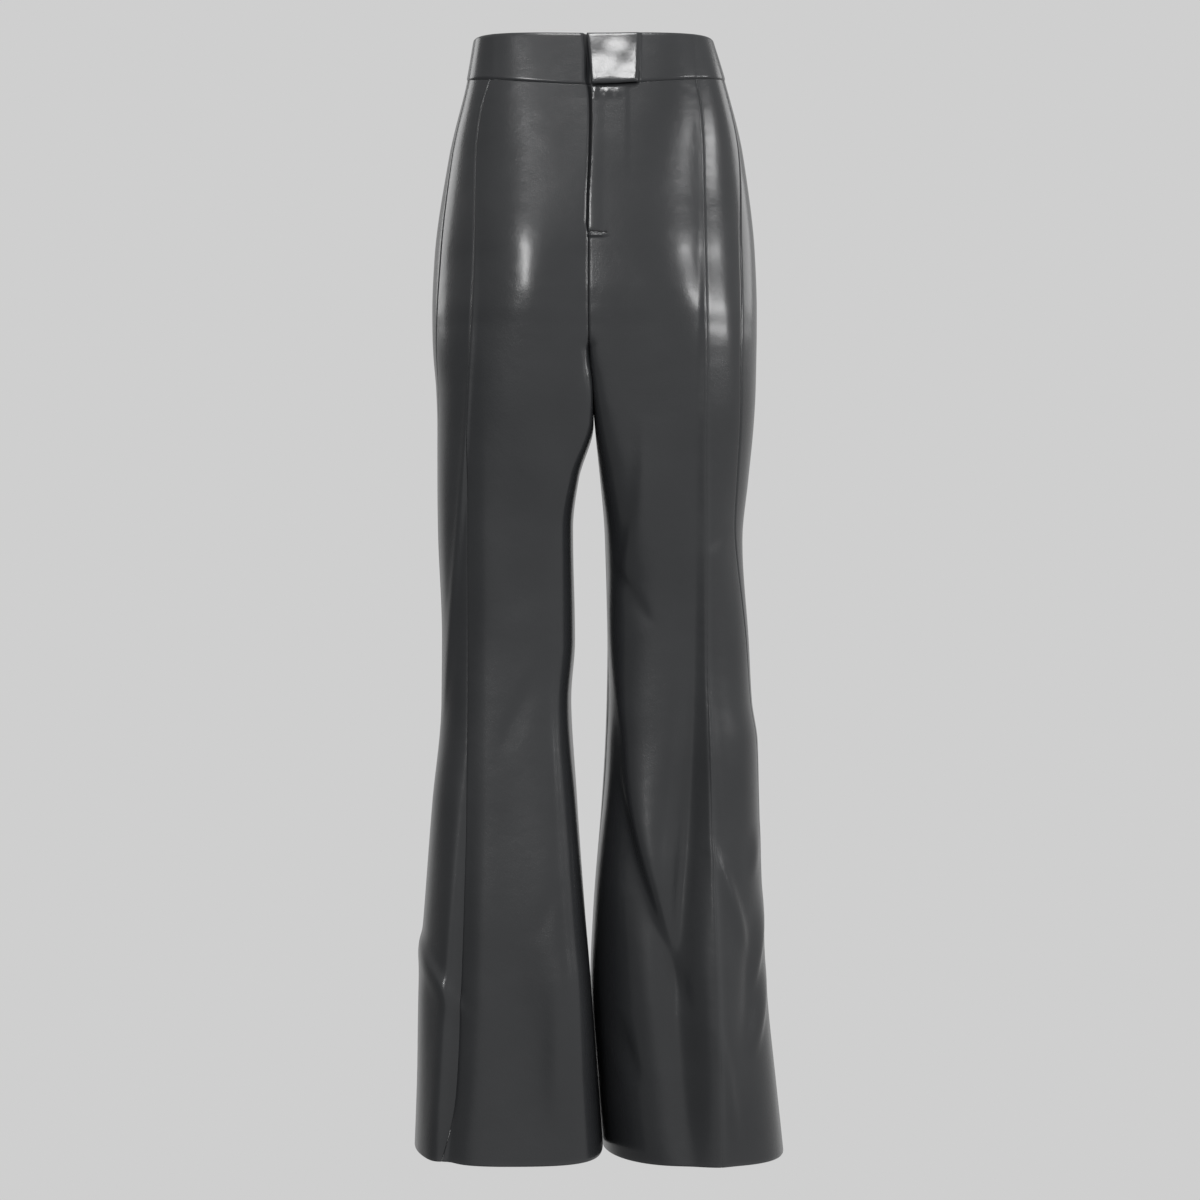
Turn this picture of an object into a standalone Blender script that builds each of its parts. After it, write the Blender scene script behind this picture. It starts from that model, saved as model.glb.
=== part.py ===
"""High-waisted flared trousers of smooth coated cloth, filled out as when worn.

The wearer faces -Y, the wearer's left is +X and +Z is up. The origin is the middle of
the waist opening, halfway down the front of the waistband. Sizes are in millimetres,
and a height is given as its drop below the top edge of the front waistband.

Each leg is a stack of level rings. A ring is a squared ellipse. Above the crotch it
reaches past the middle plane, which cuts it, and there the two legs meet in the centre
seams. Every cut piece is a flat slab of squares that is bent onto those rings.
"""

from collections import namedtuple

import bmesh
import bpy
import numpy as np

MM = 0.001

# Heights, as drops below the front waistband's top edge.
BAND_AT_FRONT = 50.7
BAND_AT_SIDE = 36
BAND_AT_BACK = 24
BACK_RISE = 16
FLY_END = 196
FLY_TAPER = 10
SHIELD_END = 206
CROTCH = 307
HEM_AT_FRONT = 1098.5
TURN_UP = 36
SEAM_DIP_ENDS = 115
HEM_DIP_STARTS = 960
TURN_STEP = 1.5
TOP_BOW = 2
BACK_ROUNDER = 0.4
ORIGIN_DROP = BAND_AT_FRONT / 2

# Cloth, layers and gaps.
CLOTH = 1.5
TURNED_CLOTH = 2.7
BAND_CLOTH = 3.0
BAND_PROUD = 0.8
SEAM_GAP = 0.3
FLY_SLIT = 1.8
LAP_EDGE = 0.2
FLY_FADE = 0.12
ON_EDGE = 1e-6
UNDERLAP = 46
UNDERLAP_DEPTH = 6.6
LAP_STEP = (1.5, 4.5)

# The body above the crotch and the depth of the legs. front and back are the ring's
# reach from the side line, wrap is the share of its width past the middle plane, and
# square is 2 on an ellipse and more where the front is flatter. The back is rounder.
Body = namedtuple("Body", "drop front back wrap square")
BODY = (
    Body(0, 84, 86, 1.00, 3.2),
    Body(38, 88, 92, 0.98, 2.9),
    Body(112, 97, 109, 0.86, 2.6),
    Body(160, 102, 119, 0.74, 2.5),
    Body(212, 105, 126, 0.55, 2.5),
    Body(252, 105, 128, 0.31, 2.5),
    Body(280, 103, 127, 0.11, 2.6),
    Body(307, 100, 124, 0, 2.6),
    Body(377, 94, 112, 0, 2.6),
    Body(480, 84, 96, 0, 2.6),
    Body(592, 77, 86, 0, 2.6),
    Body(752, 86, 93, 0, 2.6),
    Body(872, 96, 101, 0, 2.6),
    Body(1030, 107, 107, 0, 2.6),
    Body(1100, 114, 109, 0, 2.6),
)

# Each leg's reach to its outer side, the room from the middle plane to its inner side,
# and how far back its innermost line lies. Where the legs meet, one tucks behind the other.
Reach = namedtuple("Reach", "drop outer room tuck")
RIGHT_REACH = (
    Reach(0, 115, 0, 0),
    Reach(38, 122, 0, 0),
    Reach(112, 140, 0, 0),
    Reach(212, 155, 0, 0),
    Reach(262, 157, 0, 0),
    Reach(307, 156, 0, 0),
    Reach(340, 153, -2.4, -16),
    Reach(377, 152, -3.6, -16),
    Reach(432, 152, 11, -10),
    Reach(480, 151.5, 16.5, -6),
    Reach(592, 147, 15, 0),
    Reach(652, 147.5, 19, 0),
    Reach(752, 157, 13, -8),
    Reach(872, 166, 4, -18),
    Reach(930, 170, -1, -26),
    Reach(1030, 172, -8.5, -28),
    Reach(1098, 174, -14, -28),
)
LEFT_REACH = (
    Reach(0, 122, 0, 0),
    Reach(38, 134, 0, 0),
    Reach(112, 153, 0, 0),
    Reach(212, 165, 0, 0),
    Reach(262, 166.5, 0, 0),
    Reach(307, 166, 0, 0),
    Reach(340, 165, 1.6, 16),
    Reach(377, 163, 4.6, 18),
    Reach(432, 157.5, 10, 12),
    Reach(492, 152, 14.8, 8),
    Reach(592, 158, 17, 0),
    Reach(652, 161, 16, 0),
    Reach(692, 166.5, 14.5, 3),
    Reach(752, 168, 11, 8),
    Reach(872, 173, 3, 18),
    Reach(930, 175.5, 0.4, 26),
    Reach(1030, 185, 7.3, 28),
    Reach(1098, 192, 13, 28),
)

# Where the princess seam runs, how far the side seam lies inside the outer side, and the
# seam's form: a ridge along its outer panel, and a ditch 8 mm inside it.
Seams = namedtuple("Seams", "drop princess side_in ridge ditch")
RIGHT_SEAMS = (
    Seams(36, 94, 3, 0.4, 0.4),
    Seams(74, 106, 4, 0.5, 0.6),
    Seams(112, 110.5, 5, 0.6, 0.8),
    Seams(212, 112.5, 8, 1.0, 1.0),
    Seams(307, 117, 5, 2.0, 1.8),
    Seams(432, 120, 1, 3.5, 2.5),
    Seams(752, 121, 1, 6.0, 3.5),
    Seams(872, 124, 1, 8.0, 4.0),
    Seams(1030, 132, 1, 9.0, 4.0),
    Seams(1098, 144, 1, 6.0, 1.5),
)
LEFT_SEAMS = (
    Seams(36, 102, 3, 0.4, 0.4),
    Seams(74, 108.5, 4, 0.5, 0.6),
    Seams(112, 111, 6, 0.6, 0.8),
    Seams(212, 112.4, 17, 1.5, 1.5),
    Seams(352, 113, 18, 4.0, 3.5),
    Seams(432, 112.5, 12, 5.0, 5.0),
    Seams(492, 113, 2, 6.0, 6.0),
    Seams(612, 113.5, 1, 7.0, 7.0),
    Seams(752, 116.5, 1, 9.0, 7.0),
    Seams(872, 120.5, 1, 9.0, 5.0),
    Seams(980, 124, 1, 8.0, 4.0),
    Seams(1098, 127, 1, 5.0, 1.5),
)
RIDGE_OUTSIDE = 22
RIDGE_INSIDE = 6
DITCH_FROM_SEAM = 9
DITCH_WIDTH = 6

# Folds seen from the front or back, from one drop and distance off the middle plane to
# another, bowed outwards by bow halfway. A ridge has a height above 0, a trough below 0.
Fold = namedtuple("Fold", "face from_drop from_out to_drop to_out bow width height")
RIGHT_FOLDS = (
    Fold("front", 300, 116, 640, 142, -5, 5, 3.5),
    Fold("front", 590, 38, 700, 86, 4, 16, -4),
    Fold("front", 880, 28, 1060, 30, 3, 14, 3),
    Fold("front", 885, 168, 955, 130, 0, 7, 5),
    Fold("front", 905, 160, 975, 122, 0, 8, -4),
    Fold("back", 318, 24, 420, 110, 10, 18, -4),
    Fold("back", 560, 40, 690, 120, 8, 16, -5),
    Fold("back", 610, 128, 730, 60, 0, 13, 4),
    Fold("back", 820, 50, 1090, 62, 6, 18, -6),
    Fold("back", 860, 120, 1090, 128, -4, 15, 5),
)
LEFT_FOLDS = (
    Fold("front", 355, 51, 560, 24, 5, 13, -5),
    Fold("front", 610, 24, 920, 88, -8, 11, -10),
    Fold("front", 690, 102, 890, 80, 2, 9, 5),
    Fold("front", 870, 96, 1010, 99, 0, 15, -6),
    Fold("front", 790, 117, 890, 150, 0, 8, -4),
    Fold("front", 825, 176, 965, 150, -4, 9, -5),
    Fold("back", 318, 24, 430, 116, 10, 18, -4),
    Fold("back", 540, 126, 680, 50, 6, 16, -5),
    Fold("back", 640, 40, 760, 118, 0, 12, 4),
    Fold("back", 800, 118, 1090, 140, 0, 18, -6),
    Fold("back", 840, 62, 1090, 58, 5, 14, 5),
)

# The hem is the drop of the leg's bottom edge at its sides.
Leg = namedtuple("Leg", "name side hem reach seams folds")
RIGHT = Leg("right", -1, 1091, RIGHT_REACH, RIGHT_SEAMS, RIGHT_FOLDS)
LEFT = Leg("left", 1, 1098, LEFT_REACH, LEFT_SEAMS, LEFT_FOLDS)

# Rows of squares down a panel, and columns across each kind of piece.
ROWS_ABOVE_CROTCH = 12
ROWS_BELOW_CROTCH = 26
FRONT_COLUMNS = 10
SIDE_COLUMNS = 5
BACK_COLUMNS = 14
BAND_ROWS = 2
BAND_COLUMNS = 9
LAP_COLUMNS = 3

# Zip, hook and bar, each as a depth behind the front's outer face.
ZIP_FROM, ZIP_TO, ZIP_BOTTOM = 1.5, 24, 192
CHAIN_AT = 12
TAPE_DEPTH, TAPE_THICK = 3.4, 0.8
CHAIN_WIDE, CHAIN_PROUD = 5, 0.5
SHIELD_FROM, SHIELD_TO = -14, 36
SHIELD_STEP = (-9, 4)
SHIELD_DEPTH = 6.3
SHIELD_CLEAR = 0.8
SHIELD_CORNER = 22
SLIDER_WIDE, SLIDER_TALL, BRIDGE_TALL, TAB_TALL = 9, 11, 3, 30
METAL = 0.9
HOOK_AT = 32
HOOK_WIDE, HOOK_TALL, HOOK_DEEP = 7, 10, 3.5
BAR_WIDE = 12


def along(table, column, drop):
    """The column's value at each drop, on a cubic that never overshoots its rows."""
    at = np.array([row.drop for row in table], float)
    value = np.array([getattr(row, column) for row in table], float)
    rise = np.diff(value) / np.diff(at)
    slope = np.concatenate([rise[:1], np.zeros(len(at) - 2), rise[-1:]])
    steady = rise[1:] * rise[:-1] > 0
    both = rise[1:][steady] + rise[:-1][steady]
    slope[1:-1][steady] = 2 * rise[1:][steady] * rise[:-1][steady] / both
    drop = np.clip(drop, at[0], at[-1])
    row = np.clip(np.searchsorted(at, drop) - 1, 0, len(at) - 2)
    span = at[row + 1] - at[row]
    t = (drop - at[row]) / span
    start = (1 + 2 * t) * (1 - t) ** 2 * value[row] + t * (1 - t) ** 2 * span * slope[row]
    end = t * t * (3 - 2 * t) * value[row + 1] - t * t * (1 - t) * span * slope[row + 1]
    return start + end


def ease(low, high, value):
    """0 below low, 1 above high, and smooth between."""
    t = np.clip((value - low) / (high - low), 0, 1)
    return t * t * (3 - 2 * t)


def ring(leg, drop):
    """A leg's ring at each drop: its middle, half width, reaches and squareness."""
    outer = along(leg.reach, "outer", drop)
    inner = along(leg.reach, "room", drop) - along(BODY, "wrap", drop) * outer
    return (
        (inner + outer) / 2,
        (outer - inner) / 2,
        along(BODY, "front", drop),
        along(BODY, "back", drop),
        along(BODY, "square", drop),
    )


def angle_at(leg, drop, out, on_back=False):
    """The angle round the ring of the point that far off the middle plane."""
    middle, half, front, back, square = ring(leg, drop)
    if on_back:
        square = square - BACK_ROUNDER
    share = np.clip(np.abs(out - middle) / half, 1e-6, 1)
    steep = (back if on_back else front) / half * (share**-square - 1) ** (1 / square)
    turn = np.arctan(steep)
    angle = np.where(out > middle, np.pi - turn, turn)
    return 2 * np.pi - angle if on_back else angle


def plain(leg, drop, angle):
    """The ring's own point at an angle: 0 inner, 90 front, 180 outer, 270 degrees back."""
    middle, half, front, back, square = ring(leg, drop)
    cosine, sine = np.cos(angle), np.sin(angle)
    deep = np.where(sine > 0, front, back)
    square = square - BACK_ROUNDER * (sine < 0)
    reach = (np.abs(cosine / half) ** square + np.abs(sine / deep) ** square) ** (-1 / square)
    inwards = np.clip(cosine * reach / half, 0, 1)
    behind = along(leg.reach, "tuck", drop) * inwards**2 - sine * reach
    return middle - cosine * reach, behind


def crease(leg, drop, angle):
    """How far the princess seam's ridge and ditch stand off the plain ring."""
    seam = angle_at(leg, drop, along(leg.seams, "princess", drop))
    out, behind = plain(leg, drop, seam)
    middle = ring(leg, drop)[0]
    off = (angle - seam) * np.hypot(out - middle, behind)
    fall = np.where(off > 0, RIDGE_OUTSIDE, RIDGE_INSIDE)
    ridge = along(leg.seams, "ridge", drop) * np.exp(-np.abs(off) / fall)
    ditch = np.exp(-(((off + DITCH_FROM_SEAM) / DITCH_WIDTH) ** 2))
    return ridge - along(leg.seams, "ditch", drop) * ditch


def folds(leg, drop, angle):
    """How far the leg's folds stand off the plain ring."""
    out = plain(leg, drop, angle)[0]
    facing_front = ease(-0.2, 0.2, np.sin(angle))
    total = np.zeros(np.broadcast(drop, angle).shape)
    for fold in leg.folds:
        long = fold.to_drop - fold.from_drop
        t = np.clip((drop - fold.from_drop) / long, 0, 1)
        path = fold.from_out + (fold.to_out - fold.from_out) * t + 4 * fold.bow * t * (1 - t)
        slant = np.hypot(1, (fold.to_out - fold.from_out) / long)
        across = (out - path) / slant / fold.width
        face = facing_front if fold.face == "front" else 1 - facing_front
        total += fold.height * np.sin(np.pi * t) ** 0.8 * np.exp(-(across**2)) * face
    return total


def slope_of(shape, leg, drop, angle):
    """The unit vector that points out of a shape, level with its ring."""
    step = np.radians(0.4)
    out_1, behind_1 = shape(leg, drop, angle - step)
    out_2, behind_2 = shape(leg, drop, angle + step)
    long = np.hypot(out_2 - out_1, behind_2 - behind_1)
    return (behind_2 - behind_1) / long, -(out_2 - out_1) / long


def formed(leg, drop, angle):
    """The cloth's outer face: the plain ring with its crease and folds."""
    out, behind = plain(leg, drop, angle)
    off_out, off_behind = slope_of(plain, leg, drop, angle)
    lift = crease(leg, drop, angle) + folds(leg, drop, angle)
    return out + lift * off_out, behind + lift * off_behind


def place(leg, drop, angle, depth, slide=0):
    """World points in metres, depth inside the cloth's face and slid round it."""
    out, behind = formed(leg, drop, angle)
    off_out, off_behind = slope_of(formed, leg, drop, angle)
    out = out - depth * off_out - slide * off_behind + SEAM_GAP / 2
    behind = behind - depth * off_behind + slide * off_out
    return np.stack([leg.side * out, behind, ORIGIN_DROP - drop], axis=1) * MM


def band_top(angle):
    """The drop of the waistband's top edge, which rises at the back."""
    in_front = -TOP_BOW * np.sin(2 * angle) ** 2
    return np.where(np.sin(angle) < 0, -BACK_RISE * np.sin(angle) ** 2, in_front)


def band_bottom(angle):
    """The drop of the waist seam, which dips in front and rises at the back."""
    sine = np.sin(angle)
    dip = np.where(sine > 0, BAND_AT_FRONT - BAND_AT_SIDE, BAND_AT_BACK - BAND_AT_SIDE)
    return BAND_AT_SIDE + dip * np.abs(sine) ** 1.3


def seam_angle(leg, seam, drop):
    """Where a lengthwise seam crosses the ring at each drop."""
    if seam == "centre front":
        return np.where(drop < CROTCH, angle_at(leg, drop, 0), 0)
    if seam == "centre back":
        return np.where(drop < CROTCH, angle_at(leg, drop, 0, on_back=True), 2 * np.pi)
    if seam == "princess":
        return angle_at(leg, drop, along(leg.seams, "princess", drop))
    outer = along(leg.reach, "outer", drop)
    return angle_at(leg, drop, outer - along(leg.seams, "side_in", drop))


def panel_drops(leg):
    """The level rows of a panel, closest together at the crotch."""
    above = 1 - (1 - np.linspace(0, 1, ROWS_ABOVE_CROTCH + 1)[:-1]) ** 1.3
    below = np.linspace(0, 1, ROWS_BELOW_CROTCH + 1) ** 1.15
    turn = leg.hem - TURN_UP
    return np.concatenate(
        [
            BAND_AT_SIDE + (CROTCH - BAND_AT_SIDE) * above,
            CROTCH + (turn - CROTCH) * below,
            [turn + TURN_STEP, turn + TURN_UP / 2, leg.hem],
        ]
    )


def cloth_thickness(leg, level):
    """One layer, and two where the hem is turned up."""
    turn = leg.hem - TURN_UP
    return CLOTH + (TURNED_CLOTH - CLOTH) * ease(turn, turn + TURN_STEP, level)


def material(name, colour, roughness, metallic=0.0):
    made = bpy.data.materials.new(name)
    made.use_nodes = True
    shader = made.node_tree.nodes["Principled BSDF"]
    shader.inputs["Base Color"].default_value = (*colour, 1)
    shader.inputs["Roughness"].default_value = roughness
    shader.inputs["Metallic"].default_value = metallic
    return made


def finish(name, mesh_data, look, smooth=True):
    """Makes the named object from a bmesh, its faces turned outwards."""
    bmesh.ops.recalc_face_normals(mesh_data, faces=mesh_data.faces[:])
    if mesh_data.calc_volume(signed=True) < 0:
        bmesh.ops.reverse_faces(mesh_data, faces=mesh_data.faces[:])
    mesh = bpy.data.meshes.new(name)
    mesh_data.to_mesh(mesh)
    mesh_data.free()
    mesh.materials.append(look)
    if smooth:
        mesh.shade_smooth()
        mesh.set_sharp_from_angle(angle=np.radians(40))
    made = bpy.data.objects.new(name, mesh)
    bpy.context.collection.objects.link(made)
    return made


def cut_piece(name, columns, rows, bend, look):
    """A slab of columns by rows squares, bent by bend(across, down, inside), each 0 to 1."""
    slab = bmesh.new()
    bmesh.ops.create_grid(slab, x_segments=columns, y_segments=rows, size=0.5)
    grown = bmesh.ops.extrude_face_region(slab, geom=slab.faces[:])["geom"]
    inner = [part for part in grown if isinstance(part, bmesh.types.BMVert)]
    bmesh.ops.translate(slab, vec=(0, 0, 1), verts=inner)
    flat = np.array([vert.co for vert in slab.verts])
    bent = bend(flat[:, 0] + 0.5, 0.5 - flat[:, 1], flat[:, 2])
    for vert, point in zip(slab.verts, bent):
        vert.co = point
    return finish(name, slab, look)


def panel(name, leg, first, last, columns, spread, look):
    """A body panel from one lengthwise seam round to another, from waist to hem."""
    drops = panel_drops(leg)

    def bend(across, down, inside):
        level = drops[np.rint(down * (len(drops) - 1)).astype(int)]
        share = spread(across)

        def angle_on(drop):
            start, end = seam_angle(leg, first, drop), seam_angle(leg, last, drop)
            return start + (end - start) * share

        angle = angle_on(level)
        fade = (1 - ease(BAND_AT_SIDE, SEAM_DIP_ENDS, level)) ** 2
        drop = level + (band_bottom(angle) - BAND_AT_SIDE) * fade
        dip = (HEM_AT_FRONT - leg.hem) * np.sin(angle) ** 2
        drop = drop + dip * ease(HEM_DIP_STARTS, leg.hem, level)
        drop = drop + SEAM_GAP / 2 * (down < ON_EDGE)
        angle = angle_on(drop)
        starts, ends = across < ON_EDGE, across > 1 - ON_EDGE
        on_centre = (starts & (first == "centre front")) | (ends & (last == "centre back"))
        on_centre &= drop < CROTCH - ON_EDGE
        slide = SEAM_GAP / 2 * (starts * 1.0 - ends * 1.0) * ~on_centre
        points = place(leg, drop, angle, inside * cloth_thickness(leg, level), slide)
        if first == "centre front":
            fly = 1 - ease(FLY_END - FLY_TAPER, FLY_END, drop)
            fly = fly * (1 - ease(0, FLY_FADE, share))
            edge = (LAP_EDGE if leg is LEFT else FLY_SLIT) * fly
            points[:, 0] += leg.side * edge * MM
        return points

    return cut_piece(name, columns, len(drops) - 1, bend, look)


def band_points(leg, angle, down, inside, depth=0):
    top, bottom = band_top(angle), band_bottom(angle) - SEAM_GAP / 2
    drop = top + (bottom - top) * down
    return place(leg, drop, angle, inside * BAND_CLOTH - BAND_PROUD + depth)


def waistband_left(look):
    """The left half of the front band, whose end laps over."""

    def bend(across, down, inside):
        level = np.full(len(across), BAND_AT_SIDE / 2)
        end = angle_at(LEFT, level, LAP_EDGE)
        side = seam_angle(LEFT, "side", level) - SEAM_GAP / 2 / BODY[0].front
        return band_points(LEFT, end + (side - end) * across, down, inside)

    return cut_piece("waistband_left", BAND_COLUMNS, BAND_ROWS, bend, look)


def waistband_right(look):
    """The right half of the front band, stepping back under the left as the underlap."""
    columns = 2 * LAP_COLUMNS + BAND_COLUMNS
    turns = (0, LAP_COLUMNS, 2 * LAP_COLUMNS, columns)

    def bend(across, down, inside):
        level = BAND_AT_SIDE / 2
        ends = [angle_at(RIGHT, level, out) for out in (-UNDERLAP, *LAP_STEP)]
        ends.append(seam_angle(RIGHT, "side", level) - SEAM_GAP / 2 / BODY[0].front)
        angle = np.interp(across * columns, turns, np.array(ends, float))
        out = plain(RIGHT, np.full(len(across), level), angle)[0]
        depth = (UNDERLAP_DEPTH + BAND_PROUD) * (1 - ease(*LAP_STEP, out))
        return band_points(RIGHT, angle, down, inside, depth)

    return cut_piece("waistband_right", columns, BAND_ROWS, bend, look)


def waistband_back(look):
    """The back band, in one piece from side seam to side seam."""

    def bend(across, down, inside):
        level = BAND_AT_SIDE / 2
        points = []
        for leg, share in ((RIGHT, 2 * across), (LEFT, 2 - 2 * across)):
            side = seam_angle(leg, "side", level) + SEAM_GAP / 2 / BODY[0].back
            middle = angle_at(leg, level, -SEAM_GAP / 2, on_back=True)
            angle = side + (middle - side) * np.clip(share, 0, 1)
            points.append(band_points(leg, angle, down, inside))
        return np.where((across < 0.5)[:, None], *points)

    return cut_piece("waistband_back", 2 * BAND_COLUMNS, BAND_ROWS, bend, look)


def behind_front(across, drop, depth):
    """World points at a distance across the front, that depth behind its face."""
    points = []
    for leg in (RIGHT, LEFT):
        angle = angle_at(leg, drop, leg.side * across)
        points.append(plain(leg, drop, angle)[1])
    behind = np.where(across < 0, *points)
    return np.stack([across, behind + depth, ORIGIN_DROP - drop], axis=1) * MM


def under_band(across, gap):
    """The drop just under the waist seam at a distance across the front."""
    return band_bottom(angle_at(LEFT, BAND_AT_FRONT, np.abs(across))) + gap


def fly_shield(look):
    """The strip behind the slit, sewn to the right front and hanging behind the zip."""

    def bend(across, down, inside):
        end = SHIELD_TO - SHIELD_CORNER * ease(0.75, 1, down) ** 2
        out = SHIELD_FROM + (end - SHIELD_FROM) * across
        top = under_band(out, SEAM_GAP / 2)
        near = CLOTH + SHIELD_CLEAR
        depth = near + (SHIELD_DEPTH - near) * ease(*SHIELD_STEP, out)
        return behind_front(out, top + (SHIELD_END - top) * down, depth + inside * CLOTH)

    return cut_piece("fly_shield", 10, 8, bend, look)


def fly_zip(look):
    """The closed zip: its two tapes and the chain between them."""

    def bend(across, down, inside):
        out = ZIP_FROM + (ZIP_TO - ZIP_FROM) * across
        top = under_band(out, SLIDER_TALL / 2)
        chain = CHAIN_PROUD * (np.abs(out - CHAIN_AT) < CHAIN_WIDE / 2)
        depth = TAPE_DEPTH - chain + inside * (TAPE_THICK + 2 * chain)
        return behind_front(out, top + (ZIP_BOTTOM - top) * down, depth)

    return cut_piece("fly_zip", 9, 8, bend, look)


def clip(name, outline, drawn, drop, look):
    """A bent metal strip: an outline of (out, high, depth) corners, drawn out and set
    behind the front at that drop."""
    strip = bmesh.new()
    face = strip.faces.new([strip.verts.new(corner) for corner in outline])
    grown = bmesh.ops.extrude_face_region(strip, geom=[face])["geom"]
    far = [part for part in grown if isinstance(part, bmesh.types.BMVert)]
    bmesh.ops.translate(strip, vec=drawn, verts=far)
    flat = np.array([vert.co for vert in strip.verts])
    seated = behind_front(flat[:, 0], drop - flat[:, 1], flat[:, 2])
    for vert, point in zip(strip.verts, seated):
        vert.co = point
    return finish(name, strip, look, smooth=False)


def zip_slider(look):
    """The slider over the top of the chain, with its tab hanging in front."""
    left = CHAIN_AT - SLIDER_WIDE / 2
    front, back = TAPE_DEPTH - CHAIN_PROUD, TAPE_DEPTH + TAPE_THICK + CHAIN_PROUD
    front, back = front - SEAM_GAP - METAL, back + SEAM_GAP
    outline = (
        (left, 0, front),
        (left, -TAB_TALL, front),
        (left, -TAB_TALL, front + METAL),
        (left, -BRIDGE_TALL, front + METAL),
        (left, -BRIDGE_TALL, back),
        (left, -SLIDER_TALL, back),
        (left, -SLIDER_TALL, back + METAL),
        (left, 0, back + METAL),
    )
    return clip("zip_slider", outline, (SLIDER_WIDE, 0, 0), BAND_AT_FRONT + 1, look)


def waist_hook(look):
    """The flat hook inside the left band, its tongue bent back behind the bar."""
    front = BAND_CLOTH - BAND_PROUD + SEAM_GAP
    left, high, tongue = HOOK_AT - HOOK_WIDE / 2, HOOK_TALL / 2, HOOK_TALL / 2 - 1
    outline = (
        (left, high, front),
        (left, -high, front),
        (left, -high, front + METAL),
        (left, high - METAL, front + METAL),
        (left, high - METAL, front + HOOK_DEEP - METAL),
        (left, -tongue, front + HOOK_DEEP - METAL),
        (left, -tongue, front + HOOK_DEEP),
        (left, high, front + HOOK_DEEP),
    )
    return clip("waist_hook", outline, (HOOK_WIDE, 0, 0), ORIGIN_DROP, look)


def waist_bar(look):
    """The bar on the underlap, bridged between its two feet, that the hook holds."""
    near, foot = BAND_CLOTH - BAND_PROUD + METAL + 2 * SEAM_GAP, UNDERLAP_DEPTH - SEAM_GAP
    left, right = HOOK_AT - BAR_WIDE / 2, HOOK_AT + BAR_WIDE / 2
    outline = (
        (left, -METAL, near),
        (right, -METAL, near),
        (right, -METAL, foot),
        (right - METAL, -METAL, foot),
        (right - METAL, -METAL, near + METAL),
        (left + METAL, -METAL, near + METAL),
        (left + METAL, -METAL, foot),
        (left, -METAL, foot),
    )
    return clip("waist_bar", outline, (0, 2 * METAL, 0), ORIGIN_DROP, look)


def build():
    for old in list(bpy.data.objects):
        bpy.data.objects.remove(old)
    leather = material("coated_cloth", (0.058, 0.061, 0.064), 0.36)
    tape = material("zip_tape", (0.02, 0.02, 0.021), 0.85)
    nickel = material("nickel", (0.55, 0.54, 0.52), 0.3, 1.0)
    for leg in (RIGHT, LEFT):
        panel(
            f"front_{leg.name}", leg, "centre front", "princess", FRONT_COLUMNS,
            lambda t: 1 - (1 - t) ** 1.5, leather,
        )
        panel(
            f"side_front_{leg.name}", leg, "princess", "side", SIDE_COLUMNS,
            lambda t: t**1.3, leather,
        )
        panel(
            f"back_{leg.name}", leg, "side", "centre back", BACK_COLUMNS,
            lambda t: t, leather,
        )
    waistband_left(leather)
    waistband_right(leather)
    waistband_back(leather)
    fly_shield(leather)
    fly_zip(tape)
    zip_slider(nickel)
    waist_hook(nickel)
    waist_bar(nickel)


build()
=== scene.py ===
"""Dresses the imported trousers: thin coated cloth with its creases and folds, its turned
hems and folded waistband, the zip, the stitches and the finishes.

Heights are drops in millimetres below the front waistband's top edge. The wearer faces -Y
and the wearer's left is +X. Each leg is a stack of level rings, as in the part, and every
cut piece is a fine grid that is laid on those rings, lifted where the cloth folds.
"""

from collections import namedtuple

import bmesh
import bpy
import numpy as np
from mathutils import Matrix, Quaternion, Vector


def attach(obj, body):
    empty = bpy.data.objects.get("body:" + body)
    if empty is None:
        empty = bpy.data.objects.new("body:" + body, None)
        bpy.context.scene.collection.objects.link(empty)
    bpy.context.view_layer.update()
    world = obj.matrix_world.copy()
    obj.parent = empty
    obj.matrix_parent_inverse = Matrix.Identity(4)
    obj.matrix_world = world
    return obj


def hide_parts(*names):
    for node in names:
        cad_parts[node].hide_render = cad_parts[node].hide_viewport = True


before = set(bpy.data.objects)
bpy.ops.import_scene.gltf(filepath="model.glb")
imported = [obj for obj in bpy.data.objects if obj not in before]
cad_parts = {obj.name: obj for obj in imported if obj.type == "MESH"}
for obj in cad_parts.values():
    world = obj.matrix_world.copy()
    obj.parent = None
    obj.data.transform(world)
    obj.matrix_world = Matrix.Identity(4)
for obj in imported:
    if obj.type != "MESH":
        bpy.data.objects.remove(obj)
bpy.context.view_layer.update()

MM = 0.001
BODY_NAME = "root"

# Heights, as drops below the front waistband's top edge.
BAND_AT_FRONT = 50.7
BAND_AT_SIDE = 36
BAND_AT_BACK = 24
BACK_RISE = 16
FLY_END = 196
SHIELD_END = 206
CROTCH = 307
HEM_AT_FRONT = 1098.5
HEM_DIP_STARTS = 960
TURN_UP = 36
SEAM_DIP_ENDS = 115
TOP_BOW = 0.6
BACK_ROUNDER = 0.4
ORIGIN_DROP = BAND_AT_FRONT / 2

# Cloth, layers and gaps. A seam's edges turn in by the roll, over the roll's width, and are
# gathered a little.
CLOTH = 1.1
HEM_FOLD = 0.8
BAND_LAYER = 0.9
BAND_CLOTH = 3.0
BAND_PROUD = 0.8
BAND_OUTER = BAND_LAYER / 2 - BAND_PROUD
BAND_INNER = BAND_CLOTH - BAND_PROUD - BAND_LAYER / 2
BAND_FOLD = (BAND_INNER - BAND_OUTER) / 2
BAND_END_ROUND = 0.4
SEAM_GAP = 0.3
SEAM_ROLL, ROLL_WIDTH = 1.0, 1.2
ROLL_LOST = 0.75
ROLL_FADES = (260, 340)
PUCKER, PUCKER_REACH = 0.06, 4.5

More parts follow.
